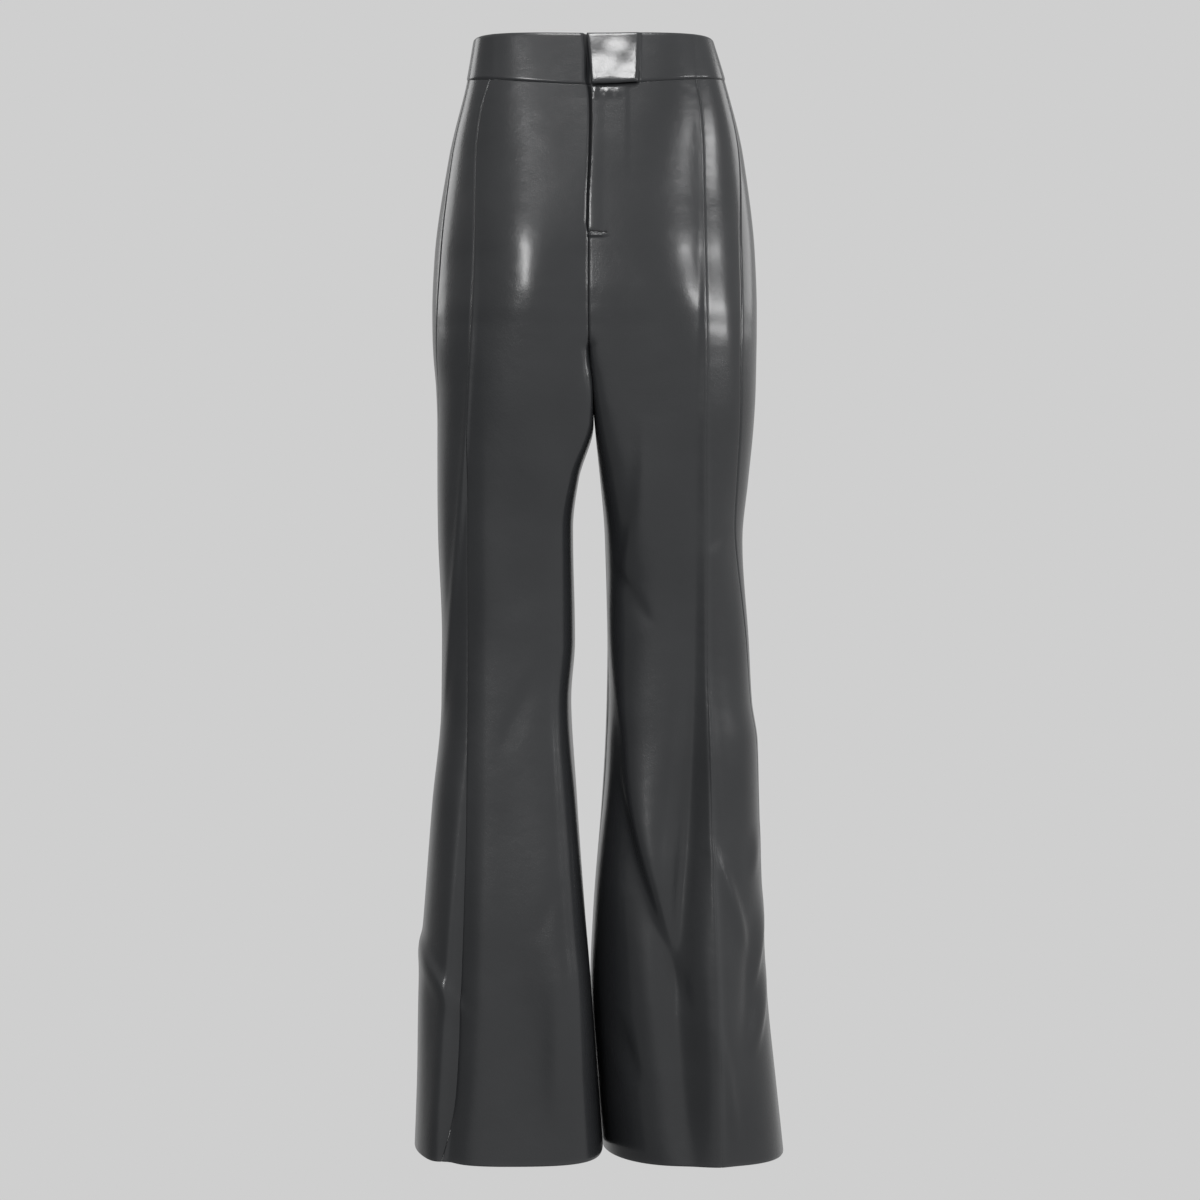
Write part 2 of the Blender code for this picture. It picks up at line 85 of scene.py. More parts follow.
# The waistband's overlap. The right band steps back under the left one, which stands proud
# of it and swells over the hook up to its own end, then lies flat.
UNDERLAP = 46
UNDERLAP_DEPTH = 6.6
LAP_EDGE = 0.2
LAP_STEP = (1.5, 4.5)
LAP_ENDS = (46, 49.5)
LAP_PROUD, LAP_SWELL, LAP_SWELLS_TO = 0.9, 5, 46

# The fly. The facing's edge shows through the left front, which is proud along the slit,
# under the bar tack and where it is gathered into the band.
FLY_SLIT = 2.3
FACING_EDGE = (34, 38.5)
FACING_FADES = (105, 165)
FACING_LIFT, SLIT_LIFT, TACK_LIFT, GATHER_LIFT = 0.55, 0.6, 1.2, 0.7
GATHERED_AT = 58.5
SHIELD_FROM, SHIELD_TO = -14, 36
SHIELD_TAPER = 22
SHIELD_DEPTHS = (2.3, 6.3)
SHIELD_MIDDLE, SHIELD_WALL = 0.75, 1.4
ZIP_FROM, ZIP_WIDTH, ZIP_MIDDLE = 1.5, 22.5, 12
ZIP_TOP_GAP, ZIP_END, ZIP_LONG = 5.5, 192, 136
TAPE_DEPTH, TAPE_WALL = 3.8, 0.5
CORD_PROUD, CORD_OFF, CORD_WIDTH = 0.35, 2.2, 0.6
TEETH_FROM, TEETH_TO, TEETH_PITCH = 64, 190, 1.5
TOOTH = (3.2, 1.5, 0.95)
TOOTH_OFF, TOOTH_DEPTH, TOOTH_BEVEL = 0.9, 3.35, 0.22

# Stitches: the bar tack's zigzag, and the slanted ones that hold the hem, as drops from the
# turn-up's edge and depths inside the cloth's face.
TACK_FROM, TACK_TO, TACK_STITCHES = 0.6, 17.5, 44
TACK_ABOVE, TACK_HALF, TACK_SLANT = 1.8, 0.8, 0.08
TACK_PROUD, TACK_THREAD = 0.5, 0.5
HEM_STITCHES, HEM_STITCHES_FROM = 92, 0.03
HEM_STITCH_TURNS = (0, 0.006, 0.016)
HEM_STITCH_DROPS = (-2.2, 0.3, 2.6)
HEM_STITCH_DEPTHS = (1.2, 3.0, 2.9)
HEM_THREAD = 0.16

# The body above the crotch and the depth of the legs. front and back are the ring's reach
# from the side line, and wrap is the share of its width past the middle plane. centre is
# how far its deepest line lies off the middle of its outer reach, as a share of that reach,
# and square is 2 on an ellipse and more where the front is flatter.
Body = namedtuple("Body", "drop front back wrap centre square")
BODY = (
    Body(0, 84, 86, 1.00, 1.00, 4.4),
    Body(38, 88, 92, 0.98, 0.98, 3.8),
    Body(112, 97, 109, 0.88, 0.88, 2.6),
    Body(160, 102, 119, 0.80, 0.79, 2.3),
    Body(212, 105, 126, 0.64, 0.61, 2.25),
    Body(245, 105, 128, 0.44, 0.45, 2.3),
    Body(268, 104, 127.5, 0.26, 0.34, 2.4),
    Body(285, 102.5, 126.5, 0.12, 0.26, 2.45),
    Body(297, 101.5, 125.3, 0.04, 0.21, 2.5),
    Body(307, 100.6, 124, 0, 0.17, 2.52),
    Body(340, 97.5, 118.5, 0, 0.07, 2.55),
    Body(377, 94, 112, 0, 0.015, 2.6),
    Body(420, 89.8, 105, 0, 0, 2.6),
    Body(480, 84, 96, 0, 0, 2.6),
    Body(592, 77, 86, 0, 0, 2.9),
    Body(752, 86, 93, 0, 0, 3.0),
    Body(872, 96, 101, 0, 0, 3.0),
    Body(1030, 107, 107, 0, 0, 2.9),
    Body(1100, 114, 109, 0, 0, 2.8),
)

# Each leg's reach to its outer side, the room from the middle plane to its inner side,
# and how far back its innermost line lies. Where the legs meet, one tucks behind the other,
# with only its innermost cloth in the thigh and more of it lower down. inner is the
# squareness of the inner half of its front.
Reach = namedtuple("Reach", "drop outer room tuck inner")
RIGHT_REACH = (
    Reach(0, 115, 0, 0, 4.4),
    Reach(38, 122, 0, 0, 3.8),
    Reach(112, 140, 0, 0, 2.6),
    Reach(212, 155, 0, 0, 2.5),
    Reach(262, 157, 0, 0, 4.4),
    Reach(285, 156.8, 0, 0, 9),
    Reach(307, 156, 0, 0, 20),
    Reach(345, 153, -2.6, -3, 22),
    Reach(377, 152, -3.6, -5, 13),
    Reach(432, 152, 11, -8, 6),
    Reach(480, 151.5, 16.5, -6, 4.8),
    Reach(592, 147, 15, 0, 4.8),
    Reach(652, 147.5, 19, 0, 4.8),
    Reach(752, 157, 13, -8, 4.6),
    Reach(872, 166, 4, -18, 4.2),
    Reach(930, 170, -1, -26, 4.0),
    Reach(1030, 172, -8.5, -28, 3.3),
    Reach(1098, 174, -14, -28, 3.0),
)
LEFT_REACH = (
    Reach(0, 122, 0, 0, 4.4),
    Reach(38, 134, 0, 0, 3.8),
    Reach(112, 153, 0, 0, 2.6),
    Reach(212, 165, 0, 0, 2.5),
    Reach(262, 166.5, 0, 0, 4.4),
    Reach(285, 166.4, 0, 0, 9),
    Reach(307, 166, 0, 0, 20),
    Reach(345, 165, 2.0, 3, 22),
    Reach(377, 163, 4.6, 5, 13),
    Reach(432, 157.5, 10, 8, 6),
    Reach(492, 152, 14.8, 8, 4.0),
    Reach(592, 158, 17, 0, 3.0),
    Reach(652, 161, 16, 0, 2.8),
    Reach(692, 166.5, 14.5, 3, 2.8),
    Reach(752, 168, 11, 8, 2.8),
    Reach(872, 173, 3, 18, 2.8),
    Reach(930, 175.5, 0.4, 26, 2.8),
    Reach(1030, 185, 7.3, 28, 2.7),
    Reach(1098, 192, 13, 28, 2.6),
)

TUCK_TIGHT, TUCK_LOOSENS, TUCK_SPREADS = 6, 4, (440, 640)

# Where the princess seam runs, how far the side seam lies inside the outer side, and the
# ridge along the princess seam, a valley below 0, with the reach of its two flanks. The
# flanks hollow out towards the seam, the outer one more.
INNER_FLANK_HOLLOW, OUTER_FLANK_HOLLOW = 1.3, 1.8
Seams = namedtuple("Seams", "drop princess side_in ridge inner_flank outer_flank")
RIGHT_SEAMS = (
    Seams(36, 94, 3, 0.3, 6, 6),
    Seams(74, 106, 4, 0.4, 6, 6),
    Seams(112, 110.5, 5, 0.5, 6, 6),
    Seams(212, 112.5, 8, 0.5, 7, 8),
    Seams(307, 117, 5, -0.5, 14, 20),
    Seams(432, 120, 1, -2.0, 19, 36),
    Seams(752, 121, 1, -2.4, 20, 36),
    Seams(850, 123.5, 1, -2.4, 20, 30),
    Seams(960, 128, 1, -2.0, 22, 14),
    Seams(1030, 132, 1, -2.0, 22, 12),
    Seams(1098, 144, 1, -2.0, 22, 12),
)
LEFT_SEAMS = (
    Seams(36, 102, 3, 0.3, 6, 6),
    Seams(74, 108.5, 4, 0.4, 6, 6),
    Seams(112, 111, 6, 0.6, 6, 6),
    Seams(212, 112.4, 17, 1.2, 7, 10),
    Seams(300, 113, 18, 2.4, 8, 20),
    Seams(406, 112.5, 14, 3.6, 10, 30),
    Seams(552, 113.2, 5, 5.0, 11, 34),
    Seams(649, 114, 2, 6.0, 14, 34),
    Seams(762, 117, 1, 8.0, 22, 36),
    Seams(815, 118.6, 1, 9, 29, 38),
    Seams(864, 120.3, 1, 10, 36, 38),
    Seams(942, 122.6, 1, 10, 40, 36),
    Seams(1040, 125.6, 1, 7, 34, 30),
    Seams(1098, 127, 1, 4, 26, 22),
)

# Folds on the front or back, from one drop and distance off the middle plane to another,
# bowed by bow halfway. A ridge has a height above 0 and a trough below 0, and a lean makes
# its outer side the steeper one, or below 0 its inner side.
Fold = namedtuple("Fold", "face from_drop from_out to_drop to_out bow width height lean")
RIGHT_FOLDS = (
    Fold("front", 40, 130, 400, 6, 0, 38, 3.8, 0),
    Fold("front", 240, 66, 480, 58, 0, 36, 3.0, 0),
    Fold("front", 170, 108, 720, 151, -5, 3.5, 2.6, -0.3),
    Fold("front", 590, 30, 716, 92, 4, 12, -1.2, 0.3),
    Fold("front", 592, 96, 556, 26, 0, 18, 0.9, 0),
    Fold("front", 890, 26, 1080, 31, 2, 9, 1.8, -0.3),
    Fold("front", 820, 30, 890, 52, 0, 9, -0.9, 0),
    Fold("front", 866, 184, 968, 116, 0, 9, 4.0, -0.3),
    Fold("front", 580, 33, 820, 31, 0, 8, 1.2, 0),
    Fold("back", 318, 24, 420, 110, 10, 18, -4, 0),
    Fold("back", 345, 20, 450, 96, 12, 12, 2, 0),
    Fold("back", 560, 40, 690, 120, 8, 16, -5, 0),
    Fold("back", 610, 128, 730, 60, 0, 13, 4, 0.3),
    Fold("back", 520, 110, 640, 44, 0, 11, 2.4, 0),
    Fold("back", 820, 50, 1090, 62, 6, 18, -6, 0),
    Fold("back", 860, 120, 1090, 128, -4, 15, 5, 0),
)
LEFT_FOLDS = (
    Fold("front", 512, 16, 582, 62, 2, 8, -1.8, 0.3),
    Fold("front", 560, 106, 1010, 74, 5, 15, -10.5, 0),
    Fold("front", 950, 24, 1030, 48, 0, 9, -2.2, 0.3),
    Fold("front", 506, 112, 474, 138, 0, 7, -1.2, 0),
    Fold("front", 620, 116, 770, 123, 0, 5, 2.0, 0.3),
    Fold("front", 780, 114, 910, 156, 4, 6, 3.4, 0.3),
    Fold("front", 955, 122, 1092, 146, 0, 4, 2.6, 0.3),
    Fold("front", 770, 164, 830, 160, 0, 5, 2.2, 0),
    Fold("front", 832, 170, 950, 154, 4, 5, 3.6, 0.3),
    Fold("front", 905, 172, 1002, 158, 3, 5, 3.0, 0.3),
    Fold("front", 840, 158, 1000, 146, 4, 8, -3.4, 0),
    Fold("back", 318, 24, 430, 116, 10, 18, -4, 0),
    Fold("back", 350, 22, 460, 98, 12, 12, 2, 0),
    Fold("back", 540, 126, 680, 50, 6, 16, -5, 0),
    Fold("back", 640, 40, 760, 118, 0, 12, 4, 0.3),
    Fold("back", 590, 40, 520, 112, 0, 11, 2.2, 0),
    Fold("back", 800, 118, 1090, 140, 0, 18, -6, 0),
    Fold("back", 840, 62, 1090, 58, 5, 14, 5, 0),
)

Leg = namedtuple("Leg", "name side hem reach seams folds")
RIGHT = Leg("right", -1, 1091, RIGHT_REACH, RIGHT_SEAMS, RIGHT_FOLDS)
LEFT = Leg("left", 1, 1098, LEFT_REACH, LEFT_SEAMS, LEFT_FOLDS)

# Steps on the front, along a line like a fold's. The cloth rises by height across a riser,
# towards its outer side, and is level again a tail away on both sides.
Riser = namedtuple("Riser", "from_drop from_out to_drop to_out bow wide height tail")
RISERS = {
    "right": (Riser(690, 121, 1330, 159, -2, 9, 12, 16),),
    "left": (
        Riser(370, 50, 560, 18, 7, 13, 5, 20),
        Riser(560, 14, 840, 50, 0, 16, 9, 26),
        Riser(690, 20, 950, 100, -6, 12, 12, 26),
        Riser(800, 98, 1150, 106, 0, 28, 18, 34),
    ),
}

# How far the slit and the centre seam stray from the middle plane.
Stray = namedtuple("Stray", "drop out")
STRAY = (
    Stray(0, -2.6),
    Stray(25, -0.9),
    Stray(49, 0.2),
    Stray(62, 1.6),
    Stray(84, 2.1),
    Stray(123, 1.2),
    Stray(162, -0.7),
    Stray(200, -1.4),
    Stray(260, -1.6),
    Stray(300, -1.2),
    Stray(335, 0),
)
STRAY_WIDTH = 26

# Where the finish is lightened, partly for wear and partly as a painted sheen: along the hem, at
# the band's fold and on a ridge, which gets it in full at this height.
HEM_WEAR_AND_SHEEN, FOLD_WEAR_AND_SHEEN, RIDGE_FULL_WEAR_AND_SHEEN = 0.5, 0.4, 25

# Columns stand this far from a seam before they spread out evenly, and rows from the waist.
# The fork is the strip along the centre seams, and it draws in towards the crotch.
SEAM_STEPS = (SEAM_GAP / 2, 0.5, 0.95, 1.5, 2.2, 3.2, 4.6)
FRONT_COLUMNS, SIDE_COLUMNS, BACK_COLUMNS = 72, 34, 78
FORK_COLUMNS, FORK_WIDTH, FORK_NARROWS = 24, 13, 25
FRONT_ROWS, BACK_ROWS = 430, 300
ONE_ROW_ABOVE_TACK_IN = 7
TACK_ZONE, TACK_ROWS = (FLY_END - 4, FLY_END + 8), 24
HEM_BEND = (30, 60, 90, 120, 150, 180)
TURN_UP_ROWS = 10
FRONT_BAND_COLUMNS, BACK_BAND_COLUMNS = 96, 84
BAND_FACE_ROWS, BAND_INNER_ROWS, BAND_BENDS = 22, 16, 9
BAND_RAW_EDGE = 0.6
ARC_STEPS = 241

# A sheet's cut, not used here: the width and length of its pattern piece, and its area.
Cut = namedtuple("Cut", "wide long area")

# The studio: the camera, the backdrop's tone, the room's and the softboxes.
CAMERA_AT = (0.010, -3.2, -0.52665)
LENS, SENSOR = 96, 36
BACKDROP = 0.624
ROOM, ROOM_FLAGGED = 0.455, 0.17
FLAG_TOWARDS = (-0.9, -0.16, -1.0)
FLAG_RAMP = (0.35, 0.85)
FLOOR_AT, FLOOR_HALF = -1.25, 6
Softbox = namedtuple("Softbox", "name at aim wide tall roll watts")
SOFTBOXES = (
    Softbox("key", (-0.79, -2.83, 0.45), (0, 0, -0.2), 0.58, 0.34, 45, 13),
    Softbox("right key", (1.75, -2.2, 0.36), (0, 0, -0.2), 0.42, 0.22, 0, 6.5),
    Softbox("right side", (2.6, -1.07, 0.34), (0, 0, -0.25), 0.7, 0.3, 0, 10),
    Softbox("waist", (0, -2.06, 1.54), (0, 0, -0.02), 0.5, 0.45, 0, 18),
    Softbox("left rim", (-1.44, 1.09, 0.3), (0, 0, -0.15), 0.8, 0.7, 0, 3),
    Softbox("right rim", (1.49, 1.09, 0.3), (0, 0, -0.15), 0.8, 0.7, 0, 2.5),
)


def along(table, column, drop):
    """The column's value at each drop, on a cubic that never overshoots its rows."""
    at = np.array([row.drop for row in table], float)
    value = np.array([getattr(row, column) for row in table], float)
    rise = np.diff(value) / np.diff(at)
    slope = np.concatenate([rise[:1], np.zeros(len(at) - 2), rise[-1:]])
    steady = rise[1:] * rise[:-1] > 0
    both = rise[1:][steady] + rise[:-1][steady]
    slope[1:-1][steady] = 2 * rise[1:][steady] * rise[:-1][steady] / both
    drop = np.clip(drop, at[0], at[-1])
    row = np.clip(np.searchsorted(at, drop) - 1, 0, len(at) - 2)
    span = at[row + 1] - at[row]
    t = (drop - at[row]) / span
    start = (1 + 2 * t) * (1 - t) ** 2 * value[row] + t * (1 - t) ** 2 * span * slope[row]
    end = t * t * (3 - 2 * t) * value[row + 1] - t * t * (1 - t) * span * slope[row + 1]
    return start + end


def ease(low, high, value):
    """0 below low, 1 above high, and smooth between."""
    t = np.clip((value - low) / (high - low), 0, 1)
    return t * t * (3 - 2 * t)


def hump(value, width):
    """1 at 0, and fading smoothly to 0 over about twice the width."""
    return np.exp(-((value / width) ** 2))


def ring(leg, drop):
    """A leg's ring at each drop: where it is deepest, its outer and inner reach from there,
    and its front and back reach."""
    outer, room = along(leg.reach, "outer", drop), along(leg.reach, "room", drop)
    middle = (outer + room - along(BODY, "centre", drop) * outer) / 2
    inner = room - along(BODY, "wrap", drop) * outer
    front, back = along(BODY, "front", drop), along(BODY, "back", drop)
    return middle, outer - middle, middle - inner, front, back


def squareness(leg, drop, inside, in_front):
    """How square the ring is there: its front's inner half, its front or its back."""
    square = along(BODY, "square", drop)
    front = np.where(inside, along(leg.reach, "inner", drop), square)
    return np.where(in_front, front, square - BACK_ROUNDER)


def angle_at(leg, drop, out, on_back=False):
    """The angle round the ring of the point that far off the middle plane."""
    middle, outwards, inwards, front, back = ring(leg, drop)
    square = squareness(leg, drop, out < middle, not on_back)
    half = np.where(out < middle, inwards, outwards)
    share = np.clip(np.abs(out - middle) / half, 1e-6, 1)
    steep = (back if on_back else front) / half * (share**-square - 1) ** (1 / square)
    turn = np.arctan(steep)
    angle = np.where(out > middle, np.pi - turn, turn)
    return 2 * np.pi - angle if on_back else angle


def plain(leg, drop, angle):
    """The ring's own point at an angle: 0 inner, 90 front, 180 outer, 270 degrees back."""
    middle, outwards, inwards, front, back = ring(leg, drop)
    cosine, sine = np.cos(angle), np.sin(angle)
    half = np.where(cosine > 0, inwards, outwards)
    deep = np.where(sine > 0, front, back)
    square = squareness(leg, drop, cosine > 0, sine > 0)
    reach = (np.abs(cosine / half) ** square + np.abs(sine / deep) ** square) ** (-1 / square)
    tight = TUCK_TIGHT - TUCK_LOOSENS * ease(*TUCK_SPREADS, drop)
    innermost = np.clip(cosine * reach / half, 0, 1) ** tight
    behind = along(leg.reach, "tuck", drop) * innermost - sine * reach
    return middle - cosine * reach, behind


def princess_offset(leg, drop, angle):
    """The distance round the ring from the princess seam, outwards above 0."""
    seam = angle_at(leg, drop, along(leg.seams, "princess", drop))
    out, behind = plain(leg, drop, seam)
    return (angle - seam) * np.hypot(out - ring(leg, drop)[0], behind)


def crease(leg, drop, angle):
    """How far the princess seam's ridge or valley stands off the plain ring."""
    off = princess_offset(leg, drop, angle)
    inner, outer = along(leg.seams, "inner_flank", drop), along(leg.seams, "outer_flank", drop)
    reach = np.clip(1 - np.abs(off) / np.where(off > 0, outer, inner), 0, 1)
    hollow = np.where(off > 0, OUTER_FLANK_HOLLOW, INNER_FLANK_HOLLOW)
    return along(leg.seams, "ridge", drop) * reach**hollow


def line_at(line, drop, out):
    """The share of the way down a fold's line, and the distance off it, outwards above 0."""
    down, across = line.to_drop - line.from_drop, line.to_out - line.from_out
    long = np.hypot(down, across)
    down, across = down / long, across / long
    run = (drop - line.from_drop) * down + (out - line.from_out) * across
    t = np.clip(run / long, 0, 1)
    off = (out - line.from_out) * down - (drop - line.from_drop) * across
    return t, off - 4 * line.bow * t * (1 - t)


def folds(leg, drop, angle):
    """How far the leg's folds and risers stand off the plain ring."""
    out = plain(leg, drop, angle)[0]
    facing_front = ease(-0.2, 0.2, np.sin(angle))
    total = np.zeros(np.broadcast(drop, angle).shape)
    for fold in leg.folds:
        t, off = line_at(fold, drop, out)
        side = off / fold.width
        face = facing_front if fold.face == "front" else 1 - facing_front
        shape = hump(side, 1 - fold.lean * np.tanh(3 * side))
        total += fold.height * np.sin(np.pi * t) ** 1.5 * shape * face
    for riser in RISERS[leg.name]:
        t, off = line_at(riser, drop, out)
        shape = 0.5 * np.tanh(2 * off / riser.wide) * hump(off, riser.tail)
        total += riser.height * np.sin(np.pi * t) ** 1.2 * shape * facing_front
    return total


def hang(leg, drop, angle):
    """The slow, uneven swell of cloth that hangs, more of it lower down."""
    turn = angle + (2.3 if leg is LEFT else 0.4)
    long = np.sin(drop / 71 + 1.8 * np.sin(2 * turn)) * np.sin(3 * turn + drop / 170)
    short = np.sin(drop / 37 + 3 * turn) * np.sin(6 * turn - drop / 96)
    return (0.5 * long + 0.25 * short) * (0.35 + 0.65 * ease(150, 700, drop))


def slope_of(shape, leg, drop, angle):
    """The unit vector that points out of a shape, level with its ring."""
    step = np.radians(0.25)
    out_1, behind_1 = shape(leg, drop, angle - step)
    out_2, behind_2 = shape(leg, drop, angle + step)
    long = np.hypot(out_2 - out_1, behind_2 - behind_1)
    return (behind_2 - behind_1) / long, -(out_2 - out_1) / long


def formed(leg, drop, angle):
    """The cloth's outer face: the plain ring with its crease and folds."""
    out, behind = plain(leg, drop, angle)
    off_out, off_behind = slope_of(plain, leg, drop, angle)
    lift = crease(leg, drop, angle) + folds(leg, drop, angle) + hang(leg, drop, angle)
    return out + lift * off_out, behind + lift * off_behind


def place(leg, drop, angle, depth):
    """World points in metres, depth inside the cloth's face."""
    out, behind = formed(leg, drop, angle)
    off_out, off_behind = slope_of(formed, leg, drop, angle)
    x = leg.side * (out - depth * off_out + SEAM_GAP / 2)
    behind = behind - depth * off_behind
    x = x + along(STRAY, "out", drop) * hump(x, STRAY_WIDTH) * (behind < 0)
    return np.stack([x, behind, ORIGIN_DROP - drop], axis=-1) * MM


def band_top(angle):
    """The drop of the waistband's top edge, which rises at the back."""
    in_front = -TOP_BOW * np.sin(2 * angle) ** 2
    return np.where(np.sin(angle) < 0, -BACK_RISE * np.sin(angle) ** 2, in_front)


def band_bottom(angle):
    """The drop of the waist seam, which dips in front and rises at the back."""
    sine = np.sin(angle)
    dip = np.where(sine > 0, BAND_AT_FRONT - BAND_AT_SIDE, BAND_AT_BACK - BAND_AT_SIDE)
    return BAND_AT_SIDE + dip * np.abs(sine) ** 1.3


def seam_angle(leg, seam, drop):
    """Where a lengthwise seam crosses the ring at each drop."""
    if seam == "centre front":
        return np.where(drop < CROTCH, angle_at(leg, drop, 0), 0)
    if seam == "centre back":
        return np.where(drop < CROTCH, angle_at(leg, drop, 0, on_back=True), 2 * np.pi)
    if seam == "princess":
        return angle_at(leg, drop, along(leg.seams, "princess", drop))
    outer = along(leg.reach, "outer", drop)
    return angle_at(leg, drop, outer - along(leg.seams, "side_in", drop))


def spread(low, high, columns, seam_low=True, seam_high=True):
    """Distances from low to high, closer together where an end is a seam."""
    steps = np.array(SEAM_STEPS)
    start = low + steps[:-1] if seam_low else []
    end = (high - steps[:-1])[::-1] if seam_high else []
    low, high = low + steps[-1] * seam_low, high - steps[-1] * seam_high
    even = np.linspace(low, high, columns + 1 - len(start) - len(end))
    return np.concatenate([start, even, end])


def arc(leg, drop, start, end):
    """Even angles from start to end, and the distance round the plain ring to each."""
    angles = start + (end - start) * np.linspace(0, 1, ARC_STEPS)
    out, behind = plain(leg, drop, angles)
    return angles, np.concatenate([[0], np.cumsum(np.hypot(np.diff(out), np.diff(behind)))])


def fork_places(width):
    """The fork's columns over a width, closest together at the seam."""
    full = max(width, FORK_WIDTH)
    return spread(0, full, FORK_COLUMNS, seam_high=False) * width / full


def column_places(leg, first, last, columns, drop):
    """Each column's distance from a panel's first seam, and the whole width there. At the
    centre seams a set of columns keeps to the fork, so the rest run on straight past it."""
    angles, run = arc(leg, drop, seam_angle(leg, first, drop), seam_angle(leg, last, drop))
    if first != "centre front" and last != "centre back":
        return spread(0, run[-1], columns), angles, run
    middle, _, inwards, *_ = ring(leg, drop)
    inner_edge = 0 if drop < CROTCH else middle - inwards
    on_back = last == "centre back"
    fork_at = inner_edge + FORK_WIDTH * (1 - 0.9 * hump(drop - CROTCH, FORK_NARROWS))
    fork = np.interp(angle_at(leg, drop, fork_at, on_back), angles, run)
    if on_back:
        main = spread(0, fork, columns - FORK_COLUMNS, seam_high=False)
        rest = run[-1] - fork_places(run[-1] - fork)[::-1]
    else:
        main = fork_places(fork)
        rest = spread(fork, run[-1], columns - FORK_COLUMNS, seam_low=False)
    return np.concatenate([main, rest[1:]]), angles, run


def cloth_object(name, points, looks, uv, wear_and_sheen, wall, bare_rim=True):
    """A named sheet from a grid of points, given its wall, its UVs in metres and a share of
    lightening, partly wear and partly painted sheen, that its finish reads. Of its two looks the
    second is inside, and on a bare rim."""
    rows, columns = points.shape[0] - 1, points.shape[1] - 1
    grid = bmesh.new()
    bmesh.ops.create_grid(grid, x_segments=columns, y_segments=rows, size=0.5)
    flat = np.array([vert.co for vert in grid.verts])
    across = np.rint((flat[:, 0] + 0.5) * columns).astype(int)
    down = np.rint((0.5 - flat[:, 1]) * rows).astype(int)
    mesh = bpy.data.meshes.new(name)
    grid.to_mesh(mesh)
    grid.free()
    placed = points[down, across]
    mesh.vertices.foreach_set("co", placed.astype(np.float32).ravel())
    corner = np.zeros(len(mesh.loops), np.int32)
    mesh.loops.foreach_get("vertex_index", corner)
    layer = mesh.uv_layers.new(name="cloth")
    layer.data.foreach_set("uv", uv[down, across][corner].astype(np.float32).ravel())
    wear_and_sheen_share = mesh.attributes.new("wear_and_sheen", "FLOAT", "POINT")
    wear_and_sheen_share.data.foreach_set("value", wear_and_sheen[down, across].astype(np.float32))
    mesh.update()
    mesh.shade_smooth()
    for look in looks:
        mesh.materials.append(look)
    made = bpy.data.objects.new(name, mesh)
    bpy.context.collection.objects.link(made)
    shell = made.modifiers.new("wall", "SOLIDIFY")
    shell.thickness = wall * MM
    shell.offset = 0
    shell.material_offset = len(looks) - 1
    shell.material_offset_rim = len(looks) - 1 if bare_rim else 0
    return made


def panel_rows(leg, rows):
    """Each row's drop at the side seam and how far inside the face it lies: from the waist
    seam, closer together round the bar tack, over the hem's fold and up inside."""
    steps = np.array(SEAM_STEPS)
    edge = leg.hem - HEM_FOLD
    above = rows // ONE_ROW_ABOVE_TACK_IN
    bend = np.radians(HEM_BEND)
    runs = (
        BAND_AT_SIDE + steps[:-1],
        np.linspace(BAND_AT_SIDE + steps[-1], TACK_ZONE[0] - 1, above),
        np.linspace(*TACK_ZONE, TACK_ROWS),
        np.linspace(TACK_ZONE[1] + 1, edge, rows - above),
        edge + HEM_FOLD * np.sin(bend),
        edge - np.linspace(0, TURN_UP - HEM_FOLD, TURN_UP_ROWS + 1)[1:],
    )
    levels = np.concatenate(runs)
    inside = np.zeros(len(levels))
    inside[-TURN_UP_ROWS - len(bend) : -TURN_UP_ROWS] = HEM_FOLD * (1 - np.cos(bend))
    inside[-TURN_UP_ROWS:] = 2 * HEM_FOLD
    return levels, inside


def hem_dip(leg, drop, angle):
    """How far the hem hangs lower in front and behind than at the sides."""
    dip = (HEM_AT_FRONT - leg.hem) * np.sin(angle) ** 2
    return dip * ease(HEM_DIP_STARTS, leg.hem, drop)


def panel_places(leg, first, last, columns, levels):
    """Each point's distance from the panel's first seam and to its last one, and its share
    of the way round between them."""
    share = np.zeros((len(levels), columns + 1))
    near_first, near_last = share.copy(), share.copy()
    for row, level in enumerate(levels):
        near_first[row], angles, run = column_places(leg, first, last, columns, level)
        near_last[row] = run[-1] - near_first[row]
        share[row] = np.interp(near_first[row], run, np.linspace(0, 1, len(run)))
    return near_first, near_last, share


def panel_face(leg, first, last, level, share):
    """Each point's drop, with the dips of the waist seam and the hem, and its angle."""

    def angle_on(drop):
        start, end = seam_angle(leg, first, drop), seam_angle(leg, last, drop)
        return start + (end - start) * share

    angle = angle_on(level)
    fade = (1 - ease(BAND_AT_SIDE, SEAM_DIP_ENDS, level)) ** 2
    drop = level + (band_bottom(angle) - BAND_AT_SIDE) * fade
    drop = drop + hem_dip(leg, level, angle)
    return drop, angle_on(drop)


def seam_depth(leg, first, drop, near_first, near_last):
    """How far the cloth turns in at its seams. The lap's edge is pressed flat, and the
    right leg's seams roll less below the fly."""
    lapped = leg is LEFT and first == "centre front"
    flat_lap = 1 - ROLL_LOST * lapped * (drop < FLY_END)
    rolled = flat_lap * hump(near_first, ROLL_WIDTH) + hump(near_last, ROLL_WIDTH)
    sunk = 1 - ROLL_LOST * ease(*ROLL_FADES, drop) if leg is RIGHT else 1
    return SEAM_ROLL * sunk * rolled


def fly_opening(leg, drop, share):
    """How far a centre front's edge keeps off the middle plane along the slit."""
    fly = 1 - ease(FLY_END - 10, FLY_END, drop)
    fly = fly * (1 - ease(0, 0.12, share))
    return leg.side * (LAP_EDGE if leg is LEFT else FLY_SLIT) * fly


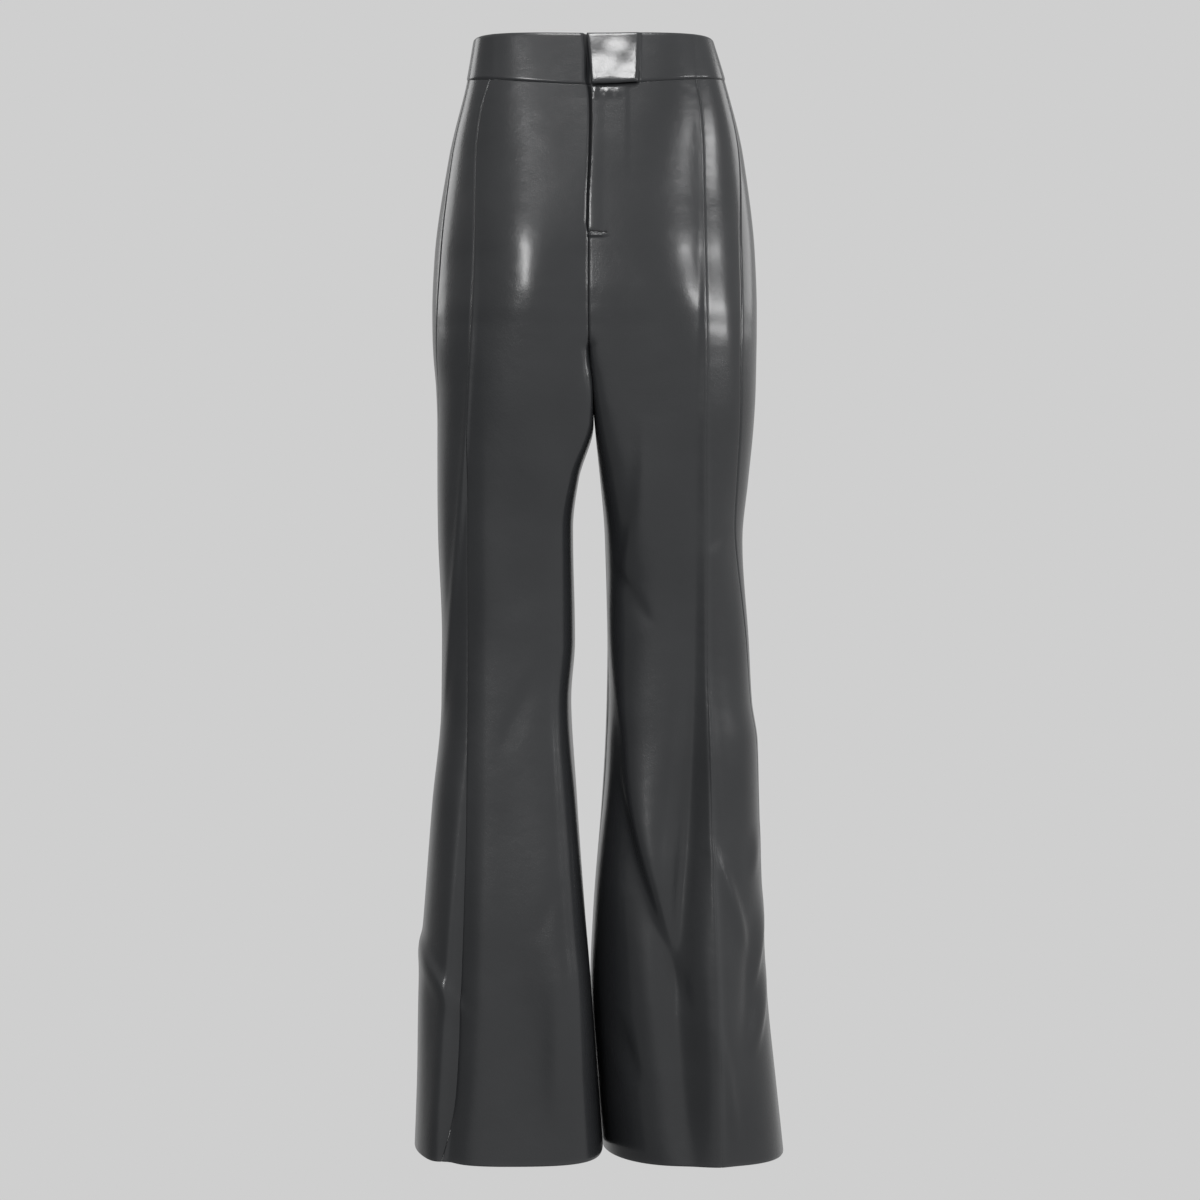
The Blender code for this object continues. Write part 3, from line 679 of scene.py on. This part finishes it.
def panel_wear_and_sheen(leg, level, drop, angle):
    """The lightened share of a panel's finish, partly wear and partly painted sheen: its hem and
    the ridge by the princess seam.
    """
    ridge = along(leg.seams, "ridge", drop) / RIDGE_FULL_WEAR_AND_SHEEN
    ridge = ridge * hump(princess_offset(leg, drop, angle) - 1.5, 3)
    return np.maximum(HEM_WEAR_AND_SHEEN * hump(level - leg.hem, 2.5), ridge * (np.sin(angle) > 0))


def panel(name, leg, first, last, columns, rows, lift=None):
    """A body panel from seam to seam, and from the waist seam to its turned-up hem."""
    levels, inside = panel_rows(leg, rows)
    near_first, near_last, share = panel_places(leg, first, last, columns, levels)
    level = np.repeat(levels[:, None], columns + 1, axis=1)
    drop, angle = panel_face(leg, first, last, level, share)
    depth = CLOTH / 2 + inside[:, None] + seam_depth(leg, first, drop, near_first, near_last)
    depth = depth - pucker(near_first, drop) - pucker(near_last, drop + 37)
    if lift is not None:
        depth = depth - lift(plain(leg, drop, angle)[0], drop)
    points = place(leg, drop, angle, depth)
    if first == "centre front":
        points[..., 0] += fly_opening(leg, drop, share) * MM
    down = np.cumsum(np.hypot(np.diff(levels, prepend=levels[0]), np.diff(inside, prepend=0)))
    across = -near_last if first == "centre front" else near_first
    uv = np.stack([across, -np.repeat(down[:, None], columns + 1, axis=1)], axis=-1) * MM
    wear_and_sheen = panel_wear_and_sheen(leg, level, drop, angle)
    if leg is RIGHT:
        points, uv, wear_and_sheen = points[:, ::-1], uv[:, ::-1], wear_and_sheen[:, ::-1]
    looks = (coated, knit)
    return cloth_object(f"{name}_cloth", points, looks, uv, wear_and_sheen, CLOTH, bare_rim=False)


def pucker(off, drop):
    """Small uneven gathers along a seam, gone a few millimetres from it."""
    wave = np.sin(drop / 2.1 + 2.5 * np.sin(drop / 19)) * (0.55 + 0.45 * np.sin(drop / 47))
    return PUCKER * wave * np.exp(-off / PUCKER_REACH)


def fly_lift(out, drop):
    """The left front over its facing: proud at the lap, with the facing's edge showing."""
    above = 1 - ease(FLY_END - 6, FLY_END + 2, drop)
    facing = (1 - ease(*FACING_EDGE, out)) * (1 - ease(*FACING_FADES, drop))
    slit = (1 - ease(3, 15, out)) * above
    tack = hump(drop - FLY_END - 2.6, 1.6) * ease(-1, 2, out) * (1 - ease(12, 19, out))
    gathers = (1 - ease(18, 36, out)) * (1 + 0.5 * np.sin(out / 1.9))
    gathers = hump(drop - GATHERED_AT, 4) * gathers
    lift = FACING_LIFT * facing + SLIT_LIFT * slit
    return lift + TACK_LIFT * tack + GATHER_LIFT * gathers


def band_rows(top, bottom):
    """Each row's drop and its depth inside the face: up from the waist seam, over the top
    edge and down inside."""
    low, raw_edge = bottom - SEAM_STEPS[-1], bottom - BAND_RAW_EDGE
    rows = []
    for step in SEAM_STEPS[:-1]:
        rows.append((bottom - step, BAND_OUTER + SEAM_ROLL * hump(step, ROLL_WIDTH)))
    for share in np.linspace(1, 0, BAND_FACE_ROWS):
        rows.append((top + BAND_FOLD + (low - top - BAND_FOLD) * share, BAND_OUTER))
    for bend in np.radians(np.linspace(0, 180, BAND_BENDS)[1:-1]):
        over = top + BAND_FOLD - BAND_FOLD * np.sin(bend)
        rows.append((over, BAND_OUTER + BAND_FOLD * (1 - np.cos(bend))))
    for share in np.linspace(0, 1, BAND_INNER_ROWS):
        rows.append((top + BAND_FOLD + (raw_edge - top - BAND_FOLD) * share, BAND_INNER))
    drops = np.array([drop for drop, depth in rows])
    return drops, np.array([depth + 0 * top for drop, depth in rows])


def band_strip(leg, start, end, columns, closed, into):
    """Half of a folded waistband. closed says whether it ends at start and at end, where
    it is rounded shut, and into gives its extra depth."""
    angles, run = arc(leg, BAND_AT_SIDE / 2, start, end)
    near_first = spread(0, run[-1], columns)
    near_last = run[-1] - near_first
    angle = np.interp(near_first, run, angles)
    top, bottom = band_top(angle), band_bottom(angle) - SEAM_GAP / 2
    drop, depth = band_rows(top, bottom)
    middle = (BAND_OUTER + BAND_INNER) / 2
    for near, ends in zip((near_first, near_last), closed):
        if ends:
            gone = 1 - np.clip(near / (BAND_FOLD + BAND_END_ROUND), 0, 1)
            depth = middle + (depth - middle) * np.sqrt(1 - gone**2)
    angle = np.repeat(angle[None], len(drop), axis=0)
    out = plain(leg, drop, angle)[0]
    points = place(leg, drop, angle, depth + into(out, drop))
    rises = [np.diff(part, axis=0, prepend=part[:1]) for part in (drop, depth)]
    up = np.cumsum(np.hypot(*rises), axis=0)
    uv = np.stack([np.repeat(near_first[None], len(drop), axis=0), up], axis=-1)
    # The band's top fold is lightened, partly for wear and partly as a painted sheen.
    wear_and_sheen = FOLD_WEAR_AND_SHEEN * hump(drop - top, 1.4)
    return points, uv * MM, wear_and_sheen


def underlap_depth(out, drop):
    """The right band steps back under the left one."""
    return (UNDERLAP_DEPTH + BAND_PROUD) * (1 - ease(*LAP_STEP, out))


def over_the_lap(out, drop):
    """The left band stands proud of the underlap and swells over the hook, most of all
    along its lower edge."""
    reach = 1 - ease(*LAP_ENDS, out + 0.03 * (drop - 25))
    swell = np.clip(drop / LAP_SWELLS_TO, 0, 1) ** 1.3 * ease(-1, 2.5, out)
    ripple = 0.16 * np.sin(out / 5.2 + drop / 8) + 0.1 * np.sin(drop / 4.1 - out / 11)
    return -(LAP_PROUD + LAP_SWELL * swell + ripple) * reach


def no_extra(out, drop):
    """The back band keeps to the body."""
    return 0 * out


def band_object(name, points, uv, wear_and_sheen):
    """A waistband piece in the coated cloth."""
    looks = (coated, knit)
    return cloth_object(f"{name}_cloth", points, looks, uv, wear_and_sheen, BAND_LAYER, bare_rim=False)


def waistbands():
    """The front band's two halves and the back band, in that order."""
    level = BAND_AT_SIDE / 2
    made = []
    fronts = ((RIGHT, -UNDERLAP, underlap_depth), (LEFT, LAP_EDGE, over_the_lap))
    for leg, start_out, into in fronts:
        start = angle_at(leg, level, start_out)
        end = seam_angle(leg, "side", level)
        points, uv, wear_and_sheen = band_strip(leg, start, end, FRONT_BAND_COLUMNS, (True, True), into)
        if leg is LEFT:
            points, uv, wear_and_sheen = points[:, ::-1], uv[:, ::-1], wear_and_sheen[:, ::-1]
        made.append(band_object(f"waistband_{leg.name}", points, uv, wear_and_sheen))
    halves = []
    for leg in (RIGHT, LEFT):
        start = seam_angle(leg, "side", level)
        end = angle_at(leg, level, -SEAM_GAP / 2, on_back=True)
        halves.append(band_strip(leg, start, end, BACK_BAND_COLUMNS, (True, False), no_extra))
    right, left = halves
    points = np.concatenate([right[0], left[0][:, ::-1]], axis=1)
    wear_and_sheen = np.concatenate([right[2], left[2][:, ::-1]], axis=1)
    uv_left = left[1][:, ::-1].copy()
    uv_left[..., 0] = right[1][:, -1:, 0] + uv_left[:, :1, 0] - uv_left[..., 0]
    uv = np.concatenate([right[1], uv_left], axis=1)
    made.append(band_object("waistband_back", points, uv, wear_and_sheen))
    return made


def behind_front(across, drop, depth):
    """World points at a distance across the front, that depth behind its face."""
    faces = [plain(leg, drop, angle_at(leg, drop, leg.side * across))[1] for leg in (RIGHT, LEFT)]
    behind = np.where(across < 0, *faces) + depth
    return np.stack([across, behind, ORIGIN_DROP - drop], axis=-1) * MM


def under_band(across, gap):
    """The drop a gap below the waist seam."""
    return band_bottom(angle_at(LEFT, BAND_AT_FRONT, np.abs(across))) + gap


def even_grid(columns, rows):
    """Each point's share of the way across and down."""
    return np.meshgrid(np.linspace(0, 1, columns + 1), np.linspace(0, 1, rows + 1))


def fly_shield():
    """The strip behind the slit, a doubled layer of the coated cloth."""
    across, down = even_grid(30, 80)
    end = SHIELD_TO - SHIELD_TAPER * ease(0.75, 1, down) ** 2
    out = SHIELD_FROM + (end - SHIELD_FROM) * across
    top = under_band(out, SEAM_GAP / 2)
    near, far = SHIELD_DEPTHS
    depth = near + (far - near) * ease(-9, 4, out) + SHIELD_MIDDLE
    depth = depth + 0.2 * np.sin(down * 23) * hump(across - 0.7, 0.3)
    points = behind_front(out, top + (SHIELD_END - top) * down, depth)
    uv = np.stack([out, -down * (SHIELD_END - BAND_AT_FRONT)], axis=-1) * MM
    # The shield's far edge is lightened, partly for wear and partly as a painted sheen.
    wear_and_sheen = hump(across - 1, 0.03)
    return cloth_object("fly_shield_cloth", points, (coated, knit), uv, wear_and_sheen, SHIELD_WALL)


def zip_tape():
    """The two woven tapes, with the cord that the teeth are crimped on."""
    across, down = even_grid(36, 120)
    out = ZIP_FROM + ZIP_WIDTH * across
    top = under_band(out, ZIP_TOP_GAP)
    cord = hump(np.abs(out - ZIP_MIDDLE) - CORD_OFF, CORD_WIDTH)
    points = behind_front(out, top + (ZIP_END - top) * down, TAPE_DEPTH - CORD_PROUD * cord)
    uv = np.stack([out, -down * ZIP_LONG], axis=-1) * MM
    return cloth_object("zip_tape", points, (tape, tape), uv, 0 * out, TAPE_WALL)


def zip_teeth():
    """Two rows of moulded teeth that mesh down the middle of the tapes."""
    made = bmesh.new()
    for number, drop in enumerate(np.arange(TEETH_FROM, TEETH_TO, TEETH_PITCH)):
        out = ZIP_MIDDLE + (TOOTH_OFF if number % 2 else -TOOTH_OFF)
        seat = behind_front(np.array(out), np.array(drop), np.array(TOOTH_DEPTH)) / MM
        box = bmesh.ops.create_cube(made, size=1)["verts"]
        bmesh.ops.scale(made, vec=TOOTH, verts=box)
        bmesh.ops.translate(made, vec=seat, verts=box)
    round_off = {"segments": 1, "profile": 0.5, "affect": "EDGES", "material": -1}
    bmesh.ops.bevel(made, geom=made.edges[:], offset=TOOTH_BEVEL, **round_off)
    bmesh.ops.scale(made, vec=(MM, MM, MM), verts=made.verts)
    return solid_object("zip_teeth", made, nickel)


def solid_object(name, made, look):
    """A named piece from a finished bmesh, with one look."""
    mesh = bpy.data.meshes.new(name)
    made.to_mesh(mesh)
    made.free()
    mesh.materials.append(look)
    mesh.shade_smooth()
    mesh.set_sharp_from_angle(angle=np.radians(40))
    piece = bpy.data.objects.new(name, mesh)
    bpy.context.collection.objects.link(piece)
    return piece


def stitches(name, runs, radius):
    """Threads of that radius, each along its own few points, as one mesh."""
    curve = bpy.data.curves.new(name, "CURVE")
    curve.dimensions = "3D"
    curve.bevel_depth = radius * MM
    curve.bevel_resolution = 1
    curve.use_fill_caps = True
    for run in runs:
        spline = curve.splines.new("POLY")
        spline.points.add(len(run) - 1)
        for point, co in zip(spline.points, run):
            point.co = (*co, 1)
    drawn = bpy.data.objects.new(name + "_path", curve)
    bpy.context.collection.objects.link(drawn)
    bpy.context.view_layer.update()
    mesh = bpy.data.meshes.new_from_object(drawn)
    mesh.name = name
    bpy.data.objects.remove(drawn)
    mesh.materials.clear()
    mesh.materials.append(thread)
    mesh.shade_smooth()
    piece = bpy.data.objects.new(name, mesh)
    bpy.context.collection.objects.link(piece)
    return piece


def on_face(leg, out, drop, depth):
    """World points on the front, at distances off the middle plane."""
    return place(leg, drop, angle_at(leg, drop, out), depth)


def bar_tack():
    """The dense zigzag that closes the slit's lower end."""
    across = np.linspace(TACK_FROM, TACK_TO, TACK_STITCHES)
    zigzag = TACK_HALF * np.resize([1, -1], TACK_STITCHES)
    drop = FLY_END - TACK_ABOVE + zigzag + TACK_SLANT * across
    return stitches("bar_tack", [on_face(LEFT, across, drop, 0 * across - TACK_PROUD)], TACK_THREAD)


def hem_stitches(leg):
    """Slanted blind stitches that hold the turned-up hem inside."""
    runs = []
    edge = leg.hem - TURN_UP
    last = 2 * np.pi - HEM_STITCHES_FROM
    for angle in np.linspace(HEM_STITCHES_FROM, last, HEM_STITCHES):
        drop = edge + hem_dip(leg, edge, angle) + np.array(HEM_STITCH_DROPS)
        turn = angle + np.array(HEM_STITCH_TURNS)
        runs.append(place(leg, drop, turn, np.array(HEM_STITCH_DEPTHS)))
    return stitches(f"hem_stitches_{leg.name}", runs, HEM_THREAD)


def new_look(name):
    """A material with its main shader and a maker of nodes, linked or set by inputs."""
    look = bpy.data.materials.new(name)
    look.use_nodes = True
    tree = look.node_tree

    def add(kind, inputs=(), **settings):
        node = tree.nodes.new(kind)
        for key, value in settings.items():
            setattr(node, key, value)
        for key, value in dict(inputs).items():
            join(value, node.inputs[key])
        return node

    def join(value, socket):
        if isinstance(value, bpy.types.NodeSocket):
            tree.links.new(value, socket)
        else:
            socket.default_value = value

    def finish(**inputs):
        for key, value in inputs.items():
            join(value, tree.nodes["Principled BSDF"].inputs[key.replace("_", " ")])

    return look, add, finish


def ranged(add, value, start, end, low=0.3, high=0.7):
    """The value's stretch from low to high, mapped onto start to end."""
    inputs = {"Value": value, "From Min": low, "From Max": high, "To Min": start, "To Max": end}
    return add("ShaderNodeMapRange", inputs).outputs["Result"]


def summed(add, first, second, kind="ADD"):
    """The sum of two values, or another sum of that kind."""
    return add("ShaderNodeMath", {0: first, 1: second}, operation=kind).outputs["Value"]


def blended(add, share, first, second):
    """The mix of two colours by that share."""
    inputs = {0: share, 6: first, 7: second}
    return add("ShaderNodeMix", inputs, data_type="RGBA").outputs[2]


def raised(add, height, distance, under=None):
    """The normal of a relief that high in metres, over the relief under it."""
    inputs = {"Height": height, "Distance": distance, "Strength": 1.0}
    if under is not None:
        inputs["Normal"] = under
    return add("ShaderNodeBump", inputs).outputs["Normal"]


def coated_cloth():
    """A charcoal coating with a fine grain, slightly uneven, lightened where it folds, partly from
    wear and partly as a painted sheen.
    """
    look, add, finish = new_look("coated_cloth")
    cloth = add("ShaderNodeUVMap", uv_map="cloth").outputs["UV"]
    body = add("ShaderNodeTexCoord").outputs["Object"]
    pebble = add("ShaderNodeTexVoronoi", {"Vector": cloth, "Scale": 820.0}, feature="SMOOTH_F1")
    pores = add("ShaderNodeTexNoise", {"Vector": cloth, "Scale": 2200.0, "Detail": 2.0})
    swell = add("ShaderNodeTexNoise", {"Vector": body, "Scale": 44.0, "Detail": 3.0})
    cloud = add("ShaderNodeTexNoise", {"Vector": body, "Scale": 11.0, "Detail": 4.0})
    wear_and_sheen = add("ShaderNodeAttribute", attribute_name="wear_and_sheen").outputs["Fac"]
    dark, light = (0.0295, 0.0310, 0.0336, 1), (0.0360, 0.0378, 0.0405, 1)
    base = blended(add, ranged(add, cloud.outputs["Fac"], 0, 1), dark, light)
    # Where the rub share is high the base turns towards pale grey: partly wear, partly a painted
    # sheen on hems, the band's fold and the seam ridges.
    wear_and_sheen_share = summed(add, wear_and_sheen, 0.45, "MULTIPLY")
    base = blended(add, wear_and_sheen_share, base, (0.12, 0.123, 0.127, 1))
    rough = ranged(add, cloud.outputs["Fac"], 0.22, 0.26)
    rough = summed(add, rough, ranged(add, pores.outputs["Fac"], -0.02, 0.03))
    normal = raised(add, swell.outputs["Fac"], 0.00035)
    normal = raised(add, pebble.outputs["Distance"], -0.00005, normal)
    normal = raised(add, pores.outputs["Fac"], 0.00002, normal)
    finish(Base_Color=base, Roughness=rough, Normal=normal, Coat_Weight=0.3, Coat_Roughness=0.15)
    return look


def backing():
    """The fine knit that the coating lies on, seen inside the waist and the hems."""
    look, add, finish = new_look("knit_backing")
    cloth = add("ShaderNodeUVMap", uv_map="cloth").outputs["UV"]
    wales = add("ShaderNodeTexWave", {"Vector": cloth, "Scale": 210.0}, bands_direction="X")
    courses = add("ShaderNodeTexWave", {"Vector": cloth, "Scale": 260.0}, bands_direction="Y")
    loops = summed(add, wales.outputs["Fac"], courses.outputs["Fac"], "MULTIPLY")
    fuzz = add("ShaderNodeTexNoise", {"Vector": cloth, "Scale": 900.0, "Detail": 3.0})
    base = blended(add, loops, (0.022, 0.022, 0.024, 1), (0.044, 0.045, 0.048, 1))
    rough = ranged(add, fuzz.outputs["Fac"], 0.8, 0.95)
    normal = raised(add, loops, 0.00012)
    normal = raised(add, fuzz.outputs["Fac"], 0.00008, normal)
    finish(Base_Color=base, Roughness=rough, Normal=normal, Sheen_Weight=0.2)
    return look


def woven_tape():
    """The zip's herringbone tape."""
    look, add, finish = new_look("woven_tape")
    cloth = add("ShaderNodeUVMap", uv_map="cloth").outputs["UV"]
    warp = add("ShaderNodeTexWave", {"Vector": cloth, "Scale": 420.0}, bands_direction="DIAGONAL")
    weft = add("ShaderNodeTexWave", {"Vector": cloth, "Scale": 330.0}, bands_direction="Y")
    weave = summed(add, warp.outputs["Fac"], weft.outputs["Fac"], "MULTIPLY")
    base = blended(add, weave, (0.012, 0.012, 0.013, 1), (0.030, 0.030, 0.032, 1))
    finish(Base_Color=base, Roughness=0.88, Normal=raised(add, weave, 0.0001), Sheen_Weight=0.3)
    return look


def sewing_thread():
    """Twisted charcoal thread."""
    look, add, finish = new_look("sewing_thread")
    body = add("ShaderNodeTexCoord").outputs["Object"]
    twist = add("ShaderNodeTexWave", {"Vector": body, "Scale": 900.0}, bands_direction="DIAGONAL")
    base = blended(add, twist.outputs["Fac"], (0.025, 0.025, 0.027, 1), (0.055, 0.056, 0.06, 1))
    finish(Base_Color=base, Roughness=0.6, Normal=raised(add, twist.outputs["Fac"], 0.00005))
    return look


def nickel_plate():
    """Satin nickel with a faint brushing."""
    look, add, finish = new_look("nickel")
    body = add("ShaderNodeTexCoord").outputs["Object"]
    drawn = add("ShaderNodeMapping", {"Vector": body, "Scale": (300.0, 300.0, 4000.0)})
    grain = {"Vector": drawn.outputs["Vector"], "Scale": 1.0, "Detail": 3.0}
    brushed = add("ShaderNodeTexNoise", grain).outputs["Fac"]
    base = blended(add, brushed, (0.50, 0.49, 0.47, 1), (0.62, 0.61, 0.59, 1))
    rough = ranged(add, brushed, 0.24, 0.36)
    normal = raised(add, brushed, 0.00001)
    finish(Base_Color=base, Metallic=1.0, Roughness=rough, Normal=normal)
    return look


def pale_floor():
    """A shadowless pale floor, as even as the backdrop."""
    look, add, finish = new_look("pale_floor")
    body = add("ShaderNodeTexCoord").outputs["Object"]
    cloud = add("ShaderNodeTexNoise", {"Vector": body, "Scale": 2.0})
    tone = ranged(add, cloud.outputs["Fac"], BACKDROP * 0.999, BACKDROP * 1.001)
    finish(Base_Color=(0, 0, 0, 1), Roughness=1.0, Specular_IOR_Level=0.0)
    finish(Emission_Color=tone, Emission_Strength=1.0)
    return look


def backdrop():
    """The camera sees an even pale backdrop. The cloth sees a dimmer room, with a
    dark flag at the wearer's right."""
    world = bpy.data.worlds.new("studio")
    bpy.context.scene.world = world
    world.use_nodes = True
    tree = world.node_tree
    room = tree.nodes["Background"]
    coord = tree.nodes.new("ShaderNodeTexCoord")
    towards = tree.nodes.new("ShaderNodeVectorMath")
    towards.operation = "DOT_PRODUCT"
    towards.inputs[1].default_value = FLAG_TOWARDS
    tone = tree.nodes.new("ShaderNodeMapRange")
    tone.interpolation_type = "SMOOTHSTEP"
    tone.inputs["From Min"].default_value, tone.inputs["From Max"].default_value = FLAG_RAMP
    tone.inputs["To Min"].default_value, tone.inputs["To Max"].default_value = ROOM, ROOM_FLAGGED
    tree.links.new(coord.outputs["Generated"], towards.inputs[0])
    tree.links.new(towards.outputs["Value"], tone.inputs["Value"])
    tree.links.new(tone.outputs["Result"], room.inputs["Color"])
    seen = tree.nodes.new("ShaderNodeBackground")
    seen.inputs["Color"].default_value = (BACKDROP, BACKDROP, BACKDROP, 1)
    path = tree.nodes.new("ShaderNodeLightPath")
    choice = tree.nodes.new("ShaderNodeMixShader")
    tree.links.new(path.outputs["Is Camera Ray"], choice.inputs["Fac"])
    tree.links.new(room.outputs["Background"], choice.inputs[1])
    tree.links.new(seen.outputs["Background"], choice.inputs[2])
    tree.links.new(choice.outputs["Shader"], tree.nodes["World Output"].inputs["Surface"])


def softboxes():
    """Soft lights that the cloth mirrors and the camera doesn't see."""
    for box in SOFTBOXES:
        light = bpy.data.lights.new(box.name, "AREA")
        light.shape = "RECTANGLE"
        light.size, light.size_y = box.wide, box.tall
        light.energy = box.watts
        lamp = bpy.data.objects.new(box.name, light)
        lamp.location = box.at
        aim = (Vector(box.aim) - Vector(box.at)).to_track_quat("-Z", "Y")
        lamp.rotation_euler = (aim @ Quaternion((0, 0, 1), np.radians(-box.roll))).to_euler()
        lamp.visible_camera = False
        bpy.context.collection.objects.link(lamp)


def floor():
    """A floor well below the hems, left out of the cloth's reflections."""
    made = bmesh.new()
    bmesh.ops.create_grid(made, x_segments=1, y_segments=1, size=FLOOR_HALF)
    bmesh.ops.translate(made, vec=(0, 0, FLOOR_AT), verts=made.verts)
    plane = solid_object("floor", made, pale_floor())
    plane.visible_diffuse = plane.visible_glossy = False


def camera():
    """Level, in front of the middle of the trousers."""
    lens = bpy.data.cameras.new("camera")
    lens.lens, lens.sensor_width = LENS, SENSOR
    made = bpy.data.objects.new("camera", lens)
    made.location = CAMERA_AT
    made.rotation_euler = (np.pi / 2, 0, 0)
    bpy.context.collection.objects.link(made)
    bpy.context.scene.camera = made
    bpy.context.scene.view_settings.view_transform = "Standard"


coated, knit, tape = coated_cloth(), backing(), woven_tape()
thread, nickel = sewing_thread(), nickel_plate()

panels = []
for leg in (RIGHT, LEFT):
    front = ("centre front", "princess", FRONT_COLUMNS, FRONT_ROWS)
    side = ("princess", "side", SIDE_COLUMNS, FRONT_ROWS)
    back = ("side", "centre back", BACK_COLUMNS, BACK_ROWS)
    lift = fly_lift if leg is LEFT else None
    panels.append(panel(f"front_{leg.name}", leg, *front, lift))
    panels.append(panel(f"side_front_{leg.name}", leg, *side))
    panels.append(panel(f"back_{leg.name}", leg, *back))
bands = waistbands()
shield, zip_sheet, teeth = fly_shield(), zip_tape(), zip_teeth()
sewing = [bar_tack(), hem_stitches(RIGHT), hem_stitches(LEFT)]

for piece in panels + bands + [shield, zip_sheet]:
    node = "fly_zip" if piece is zip_sheet else piece.name.removesuffix("_cloth")
    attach(piece, BODY_NAME)
    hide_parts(node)
for piece in sewing:
    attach(piece, BODY_NAME)
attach(teeth, BODY_NAME)
for node in ("zip_slider", "waist_hook", "waist_bar"):
    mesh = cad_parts[node].data
    mesh.materials.clear()
    mesh.materials.append(nickel)

backdrop()
softboxes()
floor()
camera()
